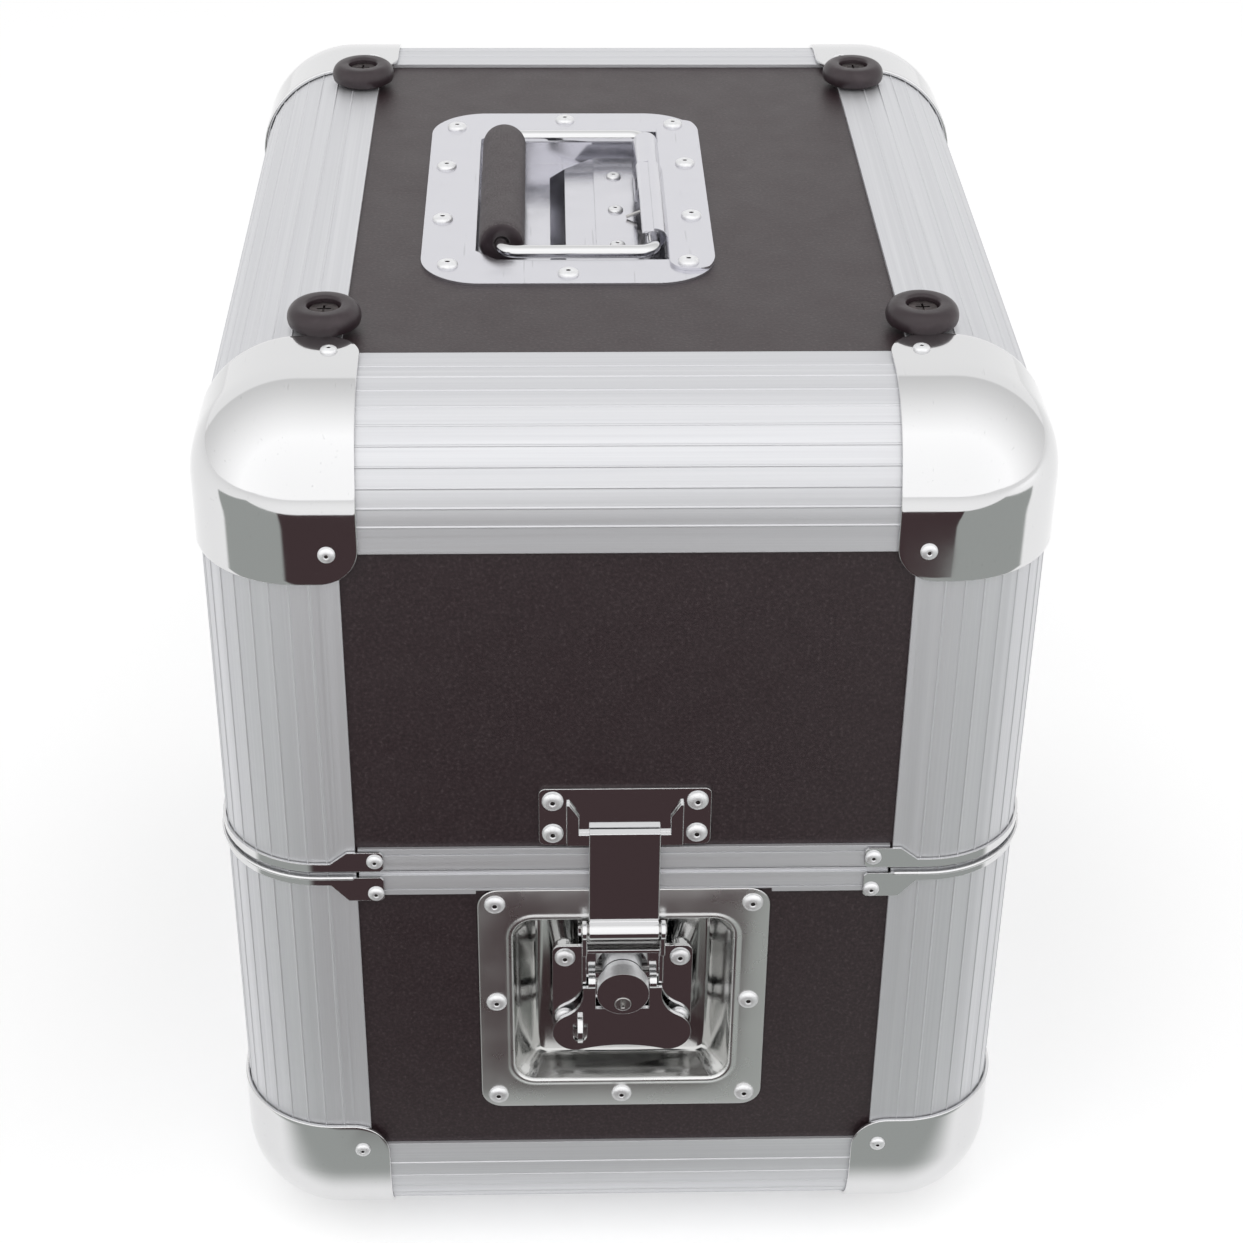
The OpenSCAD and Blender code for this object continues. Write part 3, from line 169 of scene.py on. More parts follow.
def extrusion(name, along):
    """Satin aluminium with faint draw lines along one axis."""
    s = Shader(name, (0.7, 0.703, 0.722), metallic=0.82, roughness=0.54)
    fine = [1100.0] * 3
    broad = [150.0] * 3
    fine["xyz".index(along)] = 5.0
    broad["xyz".index(along)] = 1.5
    lines = s.noise(1.0, 4.0, s.stretched(fine))
    bands = s.noise(1.0, 2.0, s.stretched(broad))
    pale = s.ramp(bands, [(0.3, (0.68, 0.683, 0.702)), (0.7, (0.75, 0.753, 0.772))])
    s.color(s.mixed(s.span(lines, 0.0, 0.4), pale, (0.62, 0.623, 0.645)))
    s.rough(s.span(lines, 0.46, 0.62))
    s.bump(lines, 0.25, 0.00005, 0.00035)
    return s.mat


def chrome():
    """Polished plate with faint haze, hair scratches and a slightly uneven face."""
    s = Shader("chrome", (0.7, 0.7, 0.705), metallic=1.0, roughness=0.07)
    haze = s.noise(35.0, 5.0)
    lines = s.scratches(900.0, 0.3)
    s.color(s.mixed(lines, (0.7, 0.7, 0.705), (0.63, 0.63, 0.635)))
    s.rough(s.span(haze, 0.03, 0.11))
    s.bump(s.noise(22.0, 2.0), 0.06, 0.0008, 0.0003)
    return s.mat


def satin_chrome():
    """Plated sheet with a dull nickel sheen, as on the flange of the latch's dish."""
    s = Shader("satin_chrome", (0.72, 0.72, 0.715), metallic=1.0, roughness=0.28)
    s.rough(s.span(s.noise(45.0, 5.0), 0.22, 0.36))
    s.color(s.ramp(s.noise(16.0, 3.0), [(0.3, (0.69, 0.69, 0.685)), (0.7, (0.76, 0.76, 0.755))]))
    s.bump(s.noise(30.0, 3.0), 0.08, 0.0006)
    return s.mat


def bright_sheet():
    """Bright plated sheet of the handle and the hinges."""
    s = Shader("bright_sheet", (0.64, 0.637, 0.675), metallic=1.0, roughness=0.2)
    lines = s.scratches(700.0, 0.32)
    s.color(s.mixed(lines, (0.65, 0.647, 0.685), (0.57, 0.567, 0.6)))
    s.rough(s.span(s.noise(90.0, 5.0), 0.12, 0.26))
    s.bump(s.noise(40.0, 3.0), 0.08, 0.0005, 0.0003)
    return s.mat


def rivet_metal():
    """Bright aluminium of the rivets' domes."""
    s = Shader("rivet_metal", (0.84, 0.84, 0.85), metallic=0.75, roughness=0.42)
    s.color(s.ramp(s.noise(700.0, 3.0), [(0.3, (0.78, 0.78, 0.79)), (0.7, (0.88, 0.88, 0.89))]))
    s.rough(s.span(s.noise(300.0, 3.0), 0.36, 0.5))
    s.bump(s.noise(500.0, 2.0), 0.12, 0.0001)
    return s.mat


def drawn_sheet():
    """Polished sheet of the dish's inside, softened by deep drawing."""
    s = Shader("drawn_sheet", (0.56, 0.56, 0.55), metallic=1.0, roughness=0.13)
    s.rough(s.span(s.noise(60.0, 4.0), 0.1, 0.19))
    s.color(s.ramp(s.noise(24.0, 3.0), [(0.3, (0.5, 0.5, 0.49)), (0.7, (0.6, 0.6, 0.59))]))
    s.bump(s.noise(26.0, 2.0), 0.08, 0.0006)
    return s.mat


def dark_steel_and_hole_shade():
    """Blackened steel of the foot screws. In the rivets' dimples the same dark colour stands for the broken
    mandrels and is also painted shade of the holes.
    """
    s = Shader("dark_steel_and_hole_shade", (0.07, 0.06, 0.06), metallic=1.0, roughness=0.4)
    s.color(s.ramp(s.noise(500.0, 4.0), [(0.3, (0.045, 0.038, 0.038)), (0.7, (0.12, 0.1, 0.1))]))
    s.rough(s.span(s.noise(300.0, 3.0), 0.32, 0.5))
    s.bump(s.noise(700.0, 2.0), 0.15, 0.0001)
    return s.mat


def plain_steel():
    s = Shader("plain_steel", (0.5, 0.49, 0.48), metallic=1.0, roughness=0.3)
    s.color(s.ramp(s.noise(120.0, 4.0), [(0.3, (0.42, 0.41, 0.4)), (0.7, (0.58, 0.57, 0.56))]))
    s.rough(s.span(s.noise(200.0, 3.0), 0.22, 0.4))
    s.bump(s.noise(600.0, 2.0), 0.15, 0.0001)
    return s.mat


def rubber():
    """Near-black moulded rubber with a dull sheen and a little dust."""
    s = Shader("rubber", (0.02, 0.014, 0.016), roughness=0.42)
    dust = s.span(s.noise(160.0, 5.0), 0.0, 0.5, 0.5, 0.8)
    s.color(s.mixed(dust, (0.026, 0.016, 0.0195), (0.062, 0.044, 0.051)))
    s.rough(s.span(s.noise(180.0, 3.0), 0.3, 0.48))
    s.bump(s.noise(1500.0, 2.0), 0.25, 0.00012)
    return s.mat


def grip_rubber():
    """Dark grey cellular rubber sleeve."""
    s = Shader("grip_rubber", (0.068, 0.058, 0.06), roughness=0.66)
    cells = s.noise(1600.0, 3.0)
    s.color(s.ramp(cells, [(0.3, (0.048, 0.04, 0.042)), (0.7, (0.11, 0.096, 0.1))]))
    s.rough(s.span(s.noise(120.0, 3.0), 0.58, 0.75))
    s.bump(cells, 0.5, 0.0002)
    return s.mat


def foam():
    """Charcoal foam with open cells."""
    s = Shader("foam", (0.05, 0.05, 0.055), roughness=0.95)
    cells = s.made("ShaderNodeTexVoronoi", scale=700.0)
    s.link(s.place, cells.inputs["Vector"])
    s.color(s.ramp(cells.outputs["Distance"], [(0.0, (0.018, 0.018, 0.02)), (0.6, (0.075, 0.073, 0.078))]))
    s.bump(cells.outputs["Distance"], 0.7, 0.0008)
    return s.mat


MATS = {
    "laminate": laminate(),
    "chrome": chrome(),
    "satin": satin_chrome(),
    "sheet": bright_sheet(),
    "rivet": rivet_metal(),
    "drawn": drawn_sheet(),
    "dark": dark_steel_and_hole_shade(),
    "steel": plain_steel(),
    "rubber": rubber(),
    "grip": grip_rubber(),
    "foam": foam(),
    "along_x": extrusion("aluminium_x", "x"),
    "along_y": extrusion("aluminium_y", "y"),
    "along_z": extrusion("aluminium_z", "z"),
}


def paint(obj, mat):
    obj.data.materials.clear()
    obj.data.materials.append(MATS[mat])


def node_material(name):
    if name.endswith("panel"):
        return "laminate"
    if name.endswith(("front_edge", "back_edge", "closing_strips")):
        return "along_x"
    if name.endswith(("left_edge", "right_edge")):
        return "along_y"
    if name.endswith("upright_edges"):
        return "along_z"
    if name.endswith("rivets"):
        return "rivet"
    if name.endswith("screws"):
        return "dark"
    if name.endswith("pad"):
        return "foam"
    if name.endswith("feet"):
        return "rubber"
    if name == "handle_grip":
        return "grip"
    if name in ("latch_cam", "wing_pin", "hook_pin", "hinge_pins", "handle_spring", "key_plug"):
        return "steel"
    if name in ("handle_dish", "handle_cover", "handle_strip") or name.startswith("hinge"):
        return "sheet"
    if name == "latch_dish":
        return "satin"
    return "chrome"


for name, obj in NODES.items():
    paint(obj, node_material(name))


# ---- mesh tools ----


def body_of(node):
    bodies = frame["record"]["behaviour"]["bodies"]
    return next(body for body, members in bodies.items() if node in members)


def stands_for(obj, node):
    """obj replaces a CAD node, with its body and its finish."""
    paint(obj, node_material(node))
    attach(obj, body_of(node))
    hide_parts(node)
    return obj


def patch(obj, mat, chosen):
    """Gives the faces that a test picks one more material. The test gets a face's centre, in millimetres,
    and its normal."""
    obj.data.materials.append(MATS[mat])
    last = len(obj.data.materials) - 1
    for face in obj.data.polygons:
        if chosen(face.center / MM, face.normal):
            face.material_index = last


def mesh_piece(name, verts, faces, sharp):
    """A mesh from points in millimetres, smooth except over edges sharper than the given angle."""
    bm = bmesh.new()
    made = [bm.verts.new(Vector(v) * MM) for v in verts]
    for f in faces:
        bm.faces.new([made[i] for i in f])
    bmesh.ops.remove_doubles(bm, verts=bm.verts, dist=1e-6)
    bmesh.ops.recalc_face_normals(bm, faces=bm.faces)
    mesh = bpy.data.meshes.new(name)
    bm.to_mesh(mesh)
    bm.free()
    return finished(name, mesh, sharp)


def finished(name, mesh, sharp):
    mesh.polygons.foreach_set("use_smooth", [True] * len(mesh.polygons))
    mesh.set_sharp_from_angle(angle=math.radians(sharp))
    obj = bpy.data.objects.new(name, mesh)
    SCENE.collection.objects.link(obj)
    return obj


def applied(obj, kind, **values):
    """Adds a modifier and applies it."""
    mod = obj.modifiers.new(kind, kind)
    for key, value in values.items():
        setattr(mod, key, value)
    depsgraph = bpy.context.evaluated_depsgraph_get()
    mesh = bpy.data.meshes.new_from_object(obj.evaluated_get(depsgraph))
    obj.modifiers.clear()
    obj.data = mesh
    return obj


ROUNDED_FROM = 35.0
FLAT_WITHIN = 0.6


def softened(node, width):
    """A copy of a CAD node with whole flat faces, and its edges rounded over the given width in millimetres.
    Edges count from the angle ROUNDED_FROM, and faces as flat within FLAT_WITHIN, in degrees."""
    angle = math.radians(ROUNDED_FROM)
    bm = bmesh.new()
    bm.from_mesh(NODES[node].data)
    bmesh.ops.remove_doubles(bm, verts=bm.verts, dist=2e-6)
    bmesh.ops.dissolve_limit(bm, angle_limit=math.radians(FLAT_WITHIN), verts=bm.verts, edges=bm.edges)
    mesh = bpy.data.meshes.new(node + "_rounded")
    bm.to_mesh(mesh)
    bm.free()
    obj = finished(node + "_rounded", mesh, ROUNDED_FROM)
    applied(obj, "BEVEL", width=width * MM, segments=3, limit_method="ANGLE",
            angle_limit=angle, use_clamp_overlap=True)
    obj.data.set_sharp_from_angle(angle=angle)
    applied(obj, "WEIGHTED_NORMAL", keep_sharp=True, weight=100)
    return stands_for(obj, node)


def lathe(profile, steps):
    """Points and faces of a closed turned shape round +Z. The profile is (radius, height), and may touch
    the axis."""
    verts, faces = [], []
    for r, z in profile:
        for k in range(steps):
            a = 2 * math.pi * k / steps
            verts.append((r * math.cos(a), r * math.sin(a), z))
    for i in range(len(profile)):
        j = (i + 1) % len(profile)
        low, high = profile[i], profile[j]
        if low[0] == 0 and high[0] == 0:
            continue
        for k in range(steps):
            n = (k + 1) % steps
            if low[0] == 0:
                faces.append((i * steps, j * steps + n, j * steps + k))
            elif high[0] == 0:
                faces.append((i * steps + k, i * steps + n, j * steps))
            else:
                faces.append((i * steps + k, i * steps + n, j * steps + n, j * steps + k))
    return verts, faces


def arc(cx, cz, rx, rz, start, end, steps):
    """Points of an elliptical arc, in degrees."""
    angles = [math.radians(start + (end - start) * i / steps) for i in range(steps + 1)]
    return [(cx + rx * math.cos(a), cz + rz * math.sin(a)) for a in angles]


def between(a, b, share):
    """The numbers that lie the given share of the way from those of a to those of b."""
    return tuple(p + (q - p) * share for p, q in zip(a, b))


def moved(part, matrix):
    verts, faces = part
    return [tuple(matrix @ Vector(v)) for v in verts], faces


def joined(parts):
    verts, faces = [], []
    for part_verts, part_faces in parts:
        base = len(verts)
        verts += part_verts
        faces += [tuple(i + base for i in f) for f in part_faces]
    return verts, faces


def used(part):
    """The part without points that no face uses."""
    verts, faces = part
    keep = sorted({i for f in faces for i in f})
    place = {old: new for new, old in enumerate(keep)}
    return [verts[i] for i in keep], [tuple(place[i] for i in f) for f in faces]


def facing(place, axis):
    """A matrix that puts +Z along the given axis at a place."""
    turn = Vector((0, 0, 1)).rotation_difference(Vector(axis)).to_matrix().to_4x4()
    return Matrix.Translation(Vector(place)) @ turn


def closed_tube(path, radius, sides):
    """A tube round a closed path, with frames carried along it so that it doesn't twist."""
    points = [Vector(p) for p in path]
    count = len(points)
    verts, faces = [], []
    across = None
    for i, p in enumerate(points):
        along = (points[(i + 1) % count] - points[i - 1]).normalized()
        if across is None:
            across = along.orthogonal().normalized()
        across = (across - along * across.dot(along)).normalized()
        other = along.cross(across)
        for k in range(sides):
            a = 2 * math.pi * k / sides
            verts.append(tuple(p + radius * (math.cos(a) * across + math.sin(a) * other)))
    for i in range(count):
        j = (i + 1) % count
        shift = 0
        if j == 0:
            first = Vector(verts[0])
            shift = min(range(sides), key=lambda k: (Vector(verts[i * sides + k]) - first).length)
        for k in range(sides):
            a, b = i * sides + (k + shift) % sides, i * sides + (k + 1 + shift) % sides
            faces.append((a, b, j * sides + (k + 1) % sides, j * sides + k))
    return verts, faces


def islands(node):
    """The separate solids of a CAD node, each as an array of points in millimetres."""
    bm = bmesh.new()
    bm.from_mesh(NODES[node].data)
    bmesh.ops.remove_doubles(bm, verts=bm.verts, dist=1e-6)
    seen, groups = set(), []
    for start in bm.verts:
        if start in seen:
            continue
        seen.add(start)
        stack, group = [start], []
        while stack:
            v = stack.pop()
            group.append(v.co[:])
            for e in v.link_edges:
                other = e.other_vert(v)
                if other not in seen:
                    seen.add(other)
                    stack.append(other)
        groups.append(np.array(group) / MM)
    bm.free()
    return groups


# ---- rivets ----


# Points further out than this share of the head's radius lie on its rim
NEAR_RIM = 0.97


def rivet_seat(points):
    """Where a rivet's head sits: the seat's centre, the way out, the head's radius and height, and the
    shank's length."""
    low, high = points.min(0), points.max(0)
    mid, half = (low + high) / 2, (high - low) / 2

    def out_of_round(k):
        a, b = [i for i in range(3) if i != k]
        reach = np.hypot(points[:, a] - mid[a], points[:, b] - mid[b]).max()
        return abs(reach - max(half[a], half[b])) + abs(half[a] - half[b])

    k = min(range(3), key=out_of_round)
    a, b = [i for i in range(3) if i != k]
    reach = np.hypot(points[:, a] - mid[a], points[:, b] - mid[b])
    radius = max(half[a], half[b])
    rim = points[reach > NEAR_RIM * radius][:, k]
    way = 1.0 if rim.mean() > mid[k] else -1.0
    seat = rim.min() if way > 0 else rim.max()
    tip, tail = (high[k], low[k]) if way > 0 else (low[k], high[k])
    place, axis = mid.copy(), np.zeros(3)
    place[k], axis[k] = seat, way
    return place, axis, radius, abs(tip - seat), abs(seat - tail)


# A rivet's shape, as shares of its head's radius
CREST, HOLE, HOLE_FOOT, CORE = 0.36, 0.22, 0.198, 0.5
# and as shares of its head's height: the upright edge, the hole's rounded rim, and the sides and the
# middle of the hole's floor
EDGE_H, HOLE_RIM_H, HOLE_FOOT_H, HOLE_FLOOR_H = 0.12, 0.2, 0.4, 0.32
# How far round the hole's floor the dark steel reaches, as painted shade of the hole over the mandrel, as a
# share of the hole's radius
HOLE_REACH = 1.25


def rivet(radius, height, shank):
    """A domed head with the dimple that the pulled mandrel leaves."""
    crest, hole, core = CREST * radius, HOLE * radius, CORE * radius
    dome = arc(crest, EDGE_H * height, radius - crest, (1 - EDGE_H) * height, 0, 90, 7)
    rim = arc(crest, (1 - HOLE_RIM_H) * height, hole - crest, HOLE_RIM_H * height, 90, 0, 3)
    floor = [(HOLE_FOOT * radius, HOLE_FOOT_H * height), (0.0, HOLE_FLOOR_H * height)]
    under = [(0.0, -shank), (core, -shank), (core, 0.0)]
    return used(lathe([(radius, 0.0)] + dome + rim[1:] + floor + under, 28))


def dress_rivets(node):
    parts, painted_hole_shade = [], []
    for points in islands(node):
        place, axis, radius, height, shank = rivet_seat(points)
        parts.append(moved(rivet(radius, height, shank), facing(place, axis)))
        painted_hole_shade.append((Vector(place + axis * height * HOLE_FLOOR_H), HOLE_REACH * HOLE * radius))
    obj = stands_for(mesh_piece(node + "_domed", *joined(parts), sharp=50.0), node)
    # The dimples take the dark steel: the mandrels' metal, and painted shade of the rivets' holes.
    patch(obj, "dark", lambda centre, normal: any((centre - at).length < reach for at, reach in painted_hole_shade))


for node in ("base_rivets", "lid_rivets", "latch_rivets", "keeper_rivets", "handle_rivets"):
    dress_rivets(node)


# ---- corner caps ----

# The inside and the outside of the caps' sheet, as radii of the ball
CAP_IN = EDGE_R + 0.4
CAP_OUT = EDGE_R + 1.9
# How far a cap reaches from the ball's centre along x, y and z, and the radius of its leaves' round tips
CAP_FLAT = (20.0, 23.0, 24.0)
CAP_TIP = 14.0
# How finely a leaf is cut over its tip, over the rest of its flat and over the ball
TIP_CUTS, FLAT_CUTS, BALL_CUTS = 8, 4, 10
# The rolled rim's width in millimetres and the angle from which an edge counts as rim, in degrees
CAP_ROLL, CAP_ROLL_FROM = 0.35, 50.0


def cap_steps(flat, radius):
    """Places along one side of a leaf: evenly over the flat, then by even angles to the ball's middle."""
    tip = [CAP_TIP * i / TIP_CUTS - flat for i in range(TIP_CUTS)]
    rest = [-flat + CAP_TIP + (flat - CAP_TIP) * i / FLAT_CUTS for i in range(FLAT_CUTS)]
    curve = [radius * math.tan(math.radians(45 * i / BALL_CUTS)) for i in range(BALL_CUTS + 1)]
    return tip + rest + curve


def tip_rounded(a, b, flat_a, flat_b):
    """Draws the outer corner of a leaf in to a round tip."""
    u = max(0.0, (CAP_TIP - flat_a - a) / CAP_TIP)
    v = max(0.0, (CAP_TIP - flat_b - b) / CAP_TIP)
    if not (u and v):
        return a, b
    return (CAP_TIP - flat_a - CAP_TIP * u * math.sqrt(1 - v * v / 2),
            CAP_TIP - flat_b - CAP_TIP * v * math.sqrt(1 - u * u / 2))


def on_ball(q, radius):
    """Rounds a point of a sharp corner to the ball, tubes and flats of a rounded corner."""
    low = [min(c, 0.0) for c in q]
    high = Vector([max(c, 0.0) for c in q])
    return tuple(Vector(low) + radius * high.normalized())


def cap_leaf(axis, radius):
    a, b = (axis + 1) % 3, (axis + 2) % 3
    steps_a = cap_steps(CAP_FLAT[a], radius)
    steps_b = cap_steps(CAP_FLAT[b], radius)
    verts = []
    for p in steps_a:
        for r in steps_b:
            q = [0.0, 0.0, 0.0]
            q[axis] = radius
            q[a], q[b] = tip_rounded(p, r, CAP_FLAT[a], CAP_FLAT[b])
            verts.append(on_ball(q, radius))
    n, m = len(steps_a), len(steps_b)
    faces = [(i * m + j, (i + 1) * m + j, (i + 1) * m + j + 1, i * m + j + 1)
             for i in range(n - 1) for j in range(m - 1)]
    return verts, faces


def cap_shell():
    """One cap as a thin pressed shell with rolled rims, round the ball's centre."""
    bm = bmesh.new()
    verts, faces = joined([cap_leaf(axis, CAP_OUT) for axis in range(3)])
    made = [bm.verts.new(v) for v in verts]
    for f in faces:
        bm.faces.new([made[i] for i in f])
    bmesh.ops.remove_doubles(bm, verts=bm.verts, dist=1e-4)
    bmesh.ops.recalc_face_normals(bm, faces=bm.faces)
    outer = list(bm.faces)
    if sum(f.normal.dot(f.calc_center_median()) for f in outer) < 0:
        bmesh.ops.reverse_faces(bm, faces=outer)
    rim = [e for e in bm.edges if e.is_boundary]
    inner = bmesh.ops.duplicate(bm, geom=list(bm.verts) + list(bm.edges) + outer)
    other = inner["vert_map"]
    shrink = CAP_IN / CAP_OUT
    for twin in inner["geom"]:
        if isinstance(twin, bmesh.types.BMVert):
            twin.co = [c * shrink if c > 0 else c for c in twin.co]
    bmesh.ops.reverse_faces(bm, faces=[g for g in inner["geom"] if isinstance(g, bmesh.types.BMFace)])
    for e in rim:
        a, b = e.verts
        bm.faces.new((b, a, other[a], other[b]))
    bmesh.ops.recalc_face_normals(bm, faces=bm.faces)
    bm.verts.index_update()
    verts = [tuple(v.co) for v in bm.verts]
    faces = [tuple(v.index for v in f.verts) for f in bm.faces]
    bm.free()
    return verts, faces


def mirrored(part, signs):
    verts, faces = part
    made = [tuple(c * s for c, s in zip(v, signs)) for v in verts]
    flip = signs[0] * signs[1] * signs[2] < 0
    return made, [tuple(reversed(f)) if flip else f for f in faces]


def dress_caps(node, up):
    shell = cap_shell()
    parts = []
    for sx in (-1, 1):
        for sy in (-1, 1):
            centre = (sx * (SIDE_X - EDGE_R), sy * (FACE_Y - EDGE_R), SPLIT + up * (HALF - EDGE_R))
            parts.append(moved(mirrored(shell, (sx, sy, up)), Matrix.Translation(centre)))
    obj = mesh_piece(node + "_pressed", *joined(parts), sharp=35.0)
    angle = math.radians(CAP_ROLL_FROM)
    applied(obj, "BEVEL", width=CAP_ROLL * MM, segments=2, limit_method="ANGLE", angle_limit=angle)
    obj.data.set_sharp_from_angle(angle=angle)
    stands_for(obj, node)


dress_caps("lid_corner_caps", 1)
dress_caps("base_corner_caps", -1)


# ---- feet ----

# Radii and heights of a foot above its seat, in millimetres. The belly is an arc round the crown's edge.
NECK_R, NECK_H = 10.0, 1.7
BELLY_R, BELLY_H = 12.9, 3.6
CROWN_R = 9.0
RECESS_R = 5.8
RECESS_ROUND, RECESS_CHAMFER = 1.2, 0.4


def foot_profile(height):
    """Section of a foot: neck, bulge, round rim, recess for the screw."""
    bulge = arc(CROWN_R, BELLY_H, BELLY_R - CROWN_R, height - BELLY_H, -28, 90, 12)
    mouth = RECESS_R + RECESS_ROUND
    rim = arc(mouth, height - RECESS_ROUND, RECESS_ROUND, RECESS_ROUND, 90, 180, 4)
    floor = height / 2
    recess = [(RECESS_R, floor + RECESS_CHAMFER), (RECESS_R - RECESS_CHAMFER, floor), (0.0, floor)]
    return [(0.0, 0.0), (NECK_R, 0.0), (NECK_R, NECK_H)] + bulge + rim + recess


def dress_feet(node, up):
    low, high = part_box(node)
    height = (high.z - low.z) / MM
    shape = used(lathe(foot_profile(height), 48))
    parts = []
    for points in islands(node):
        mid = (points.min(0) + points.max(0)) / 2
        seat = points[:, 2].min() if up > 0 else points[:, 2].max()
        parts.append(moved(shape, facing((mid[0], mid[1], seat), (0, 0, up))))
    stands_for(mesh_piece(node + "_moulded", *joined(parts), sharp=50.0), node)


dress_feet("lid_feet", 1)
dress_feet("base_feet", -1)


# ---- carrying handle ----

# In millimetres: the grip's round ends, its bore's radius, how much the bore flares, how deep the flare lies
GRIP_ROUND, GRIP_BORE, GRIP_FLARE, GRIP_DISH = 1.6, 2.7, 0.7, 0.1
# The radius of the bail's bends in millimetres, and how finely a bend is cut
BAIL_BEND, BEND_CUTS = 6.0, 8


def dress_grip():
    low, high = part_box("handle_grip")
    mid = (low + high) / 2 / MM
    radius = (high.z - low.z) / 2 / MM
    half = (high.y - low.y) / 2 / MM
    end = arc(radius - GRIP_ROUND, half - GRIP_ROUND, GRIP_ROUND, GRIP_ROUND, 0, 90, 5)
    lip = half - GRIP_DISH
    end += [(GRIP_BORE + GRIP_FLARE, lip), (GRIP_BORE, lip - GRIP_FLARE)]
    sleeve = [(radius, half * share) for share in (-0.9, -0.6, -0.2, 0.2, 0.6, 0.9)]
    profile = [(r, -z) for r, z in reversed(end)] + sleeve + end
    obj = mesh_piece("grip_sleeve", *moved(lathe(profile, 48), facing(mid, (0, 1, 0))), sharp=50.0)
    stands_for(obj, "handle_grip")
    # Both end faces take the darker rubber: partly the sleeve's black core, and partly painted shade, where
    # the key lamp lights ends that stand in shade.
    patch(obj, "rubber", lambda centre, normal: abs(normal.y) > 0.8)


def rounded_loop(x0, x1, y1, z, bend):
    """A closed rectangle path from x0 to x1 and -y1 to y1, with round corners."""
    path = []
    for cx, cy, start in ((x1 - bend, y1 - bend, 0), (x0 + bend, y1 - bend, 90),
                          (x0 + bend, bend - y1, 180), (x1 - bend, bend - y1, 270)):
        path += [(x, y, z) for x, y in arc(cx, cy, bend, bend, start, start + 90, BEND_CUTS)]
    return path


def dress_bail():
    low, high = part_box("handle_bail")
    wire = (high.z - low.z) / 2 / MM
    path = rounded_loop(low.x / MM + wire, high.x / MM - wire, high.y / MM - wire,
                        (low.z + high.z) / 2 / MM, BAIL_BEND)
    obj = mesh_piece("bail_wire", *closed_tube(path, wire, 24), sharp=60.0)
    stands_for(obj, "handle_bail")


dress_grip()
dress_bail()


# ---- latch dish ----

# Sections of the dish: width, height, corner radius, and how far they stand out of the case's front
DISH_RIM = (108.0, 107.0, 8.0, -0.4)
DISH_MOUTH = (82.0, 79.0, 8.0, -0.4)
DISH_WALL_TOP = (81.4, 78.6, 8.0, -1.2)
DISH_WALL_FOOT = (66.8, 71.6, 5.0, -11.9)
DISH_FLOOR_EDGE = (66.8, 71.8, 5.0, -12.1)
DISH_FLOOR = (63.8, 69.8, 3.4, -12.9)
DISH_SHEET = 1.1
# Steps over the flange's rim and over the rolled lip of the mouth: how much wider, and how much further out
RIM_STEPS = ((0.0, -0.35), (-0.4, -0.1), (-1.0, 0.0))
LIP_STEPS = ((6.6, 0.0), (5.6, 0.02), (4.6, 0.15), (3.4, 0.4),
             (2.2, 0.5), (1.0, 0.4), (0.2, 0.05), (-0.3, -0.8))
# Where the wall is cut on its way down, and the floor's fillet round its quarter turn
WALL_CUTS = (0.15, 0.35, 0.6, 0.82)
FILLET_CUTS = (0.0, 0.35, 0.7, 1.0)
# How finely a ring is cut along a side and round a corner
SIDE_CUTS, CORNER_CUTS = 6, 8


def rounded_ring(w, h, r, out):
    """A closed ring of points with round corners, the given distance out of the front."""
    x, z = w / 2 - r, h / 2 - r
    centres = ((x, z), (-x, z), (-x, -z), (x, -z))
    bends = [arc(cx, cz, r, r, 90 * i, 90 * i + 90, CORNER_CUTS) for i, (cx, cz) in enumerate(centres)]
    ring = []
    for bend, following in zip(bends, bends[1:] + bends[:1]):
        run = [between(bend[-1], following[0], k / SIDE_CUTS) for k in range(1, SIDE_CUTS)]
        ring += bend + run
    return [(px, -out, pz) for px, pz in ring]


def loft(rings):
    """Faces between rings of as many points each, and a lid on the last."""
    n = len(rings[0])
    verts = [p for ring in rings for p in ring]
    faces = []
    for i in range(len(rings) - 1):
        for k in range(n):
            j = (k + 1) % n
            faces.append((i * n + k, i * n + j, (i + 1) * n + j, (i + 1) * n + k))
    faces.append(tuple((len(rings) - 1) * n + k for k in range(n)))
    return verts, faces


def stepped(section, steps):
    w, h, r, out = section
    return [(w + wider, h + wider, r + wider / 2, out + further) for wider, further in steps]


def dish_rings():
    """From the flange's rim in over the rolled lip of the mouth and down to the floor."""
    rings = stepped(DISH_RIM, RIM_STEPS) + stepped(DISH_MOUTH, LIP_STEPS)
    rings += [between(DISH_WALL_TOP, DISH_WALL_FOOT, share) for share in WALL_CUTS]
    turns = (math.radians(90 * share) for share in FILLET_CUTS)
    return rings + [between(DISH_FLOOR_EDGE, DISH_FLOOR, math.sin(turn)) for turn in turns]


def dress_dish():
    low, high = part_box("latch_dish")
    centre_z = (low.z + high.z) / 2 / MM
    verts, faces = loft([rounded_ring(*ring) for ring in dish_rings()])
    verts = [(x, y - FACE_Y, z + centre_z) for x, y, z in verts]
    obj = mesh_piece("dish_pressed", verts, faces, sharp=50.0)
    applied(obj, "SOLIDIFY", thickness=DISH_SHEET * MM, offset=-1.0, use_even_offset=True)
    stands_for(obj, "latch_dish")
    inside = -DISH_WALL_TOP[3] - FACE_Y
    patch(obj, "drawn", lambda centre, normal: centre.y > inside)


dress_dish()


# ---- rounded edges of plates, braces and the barrel ----

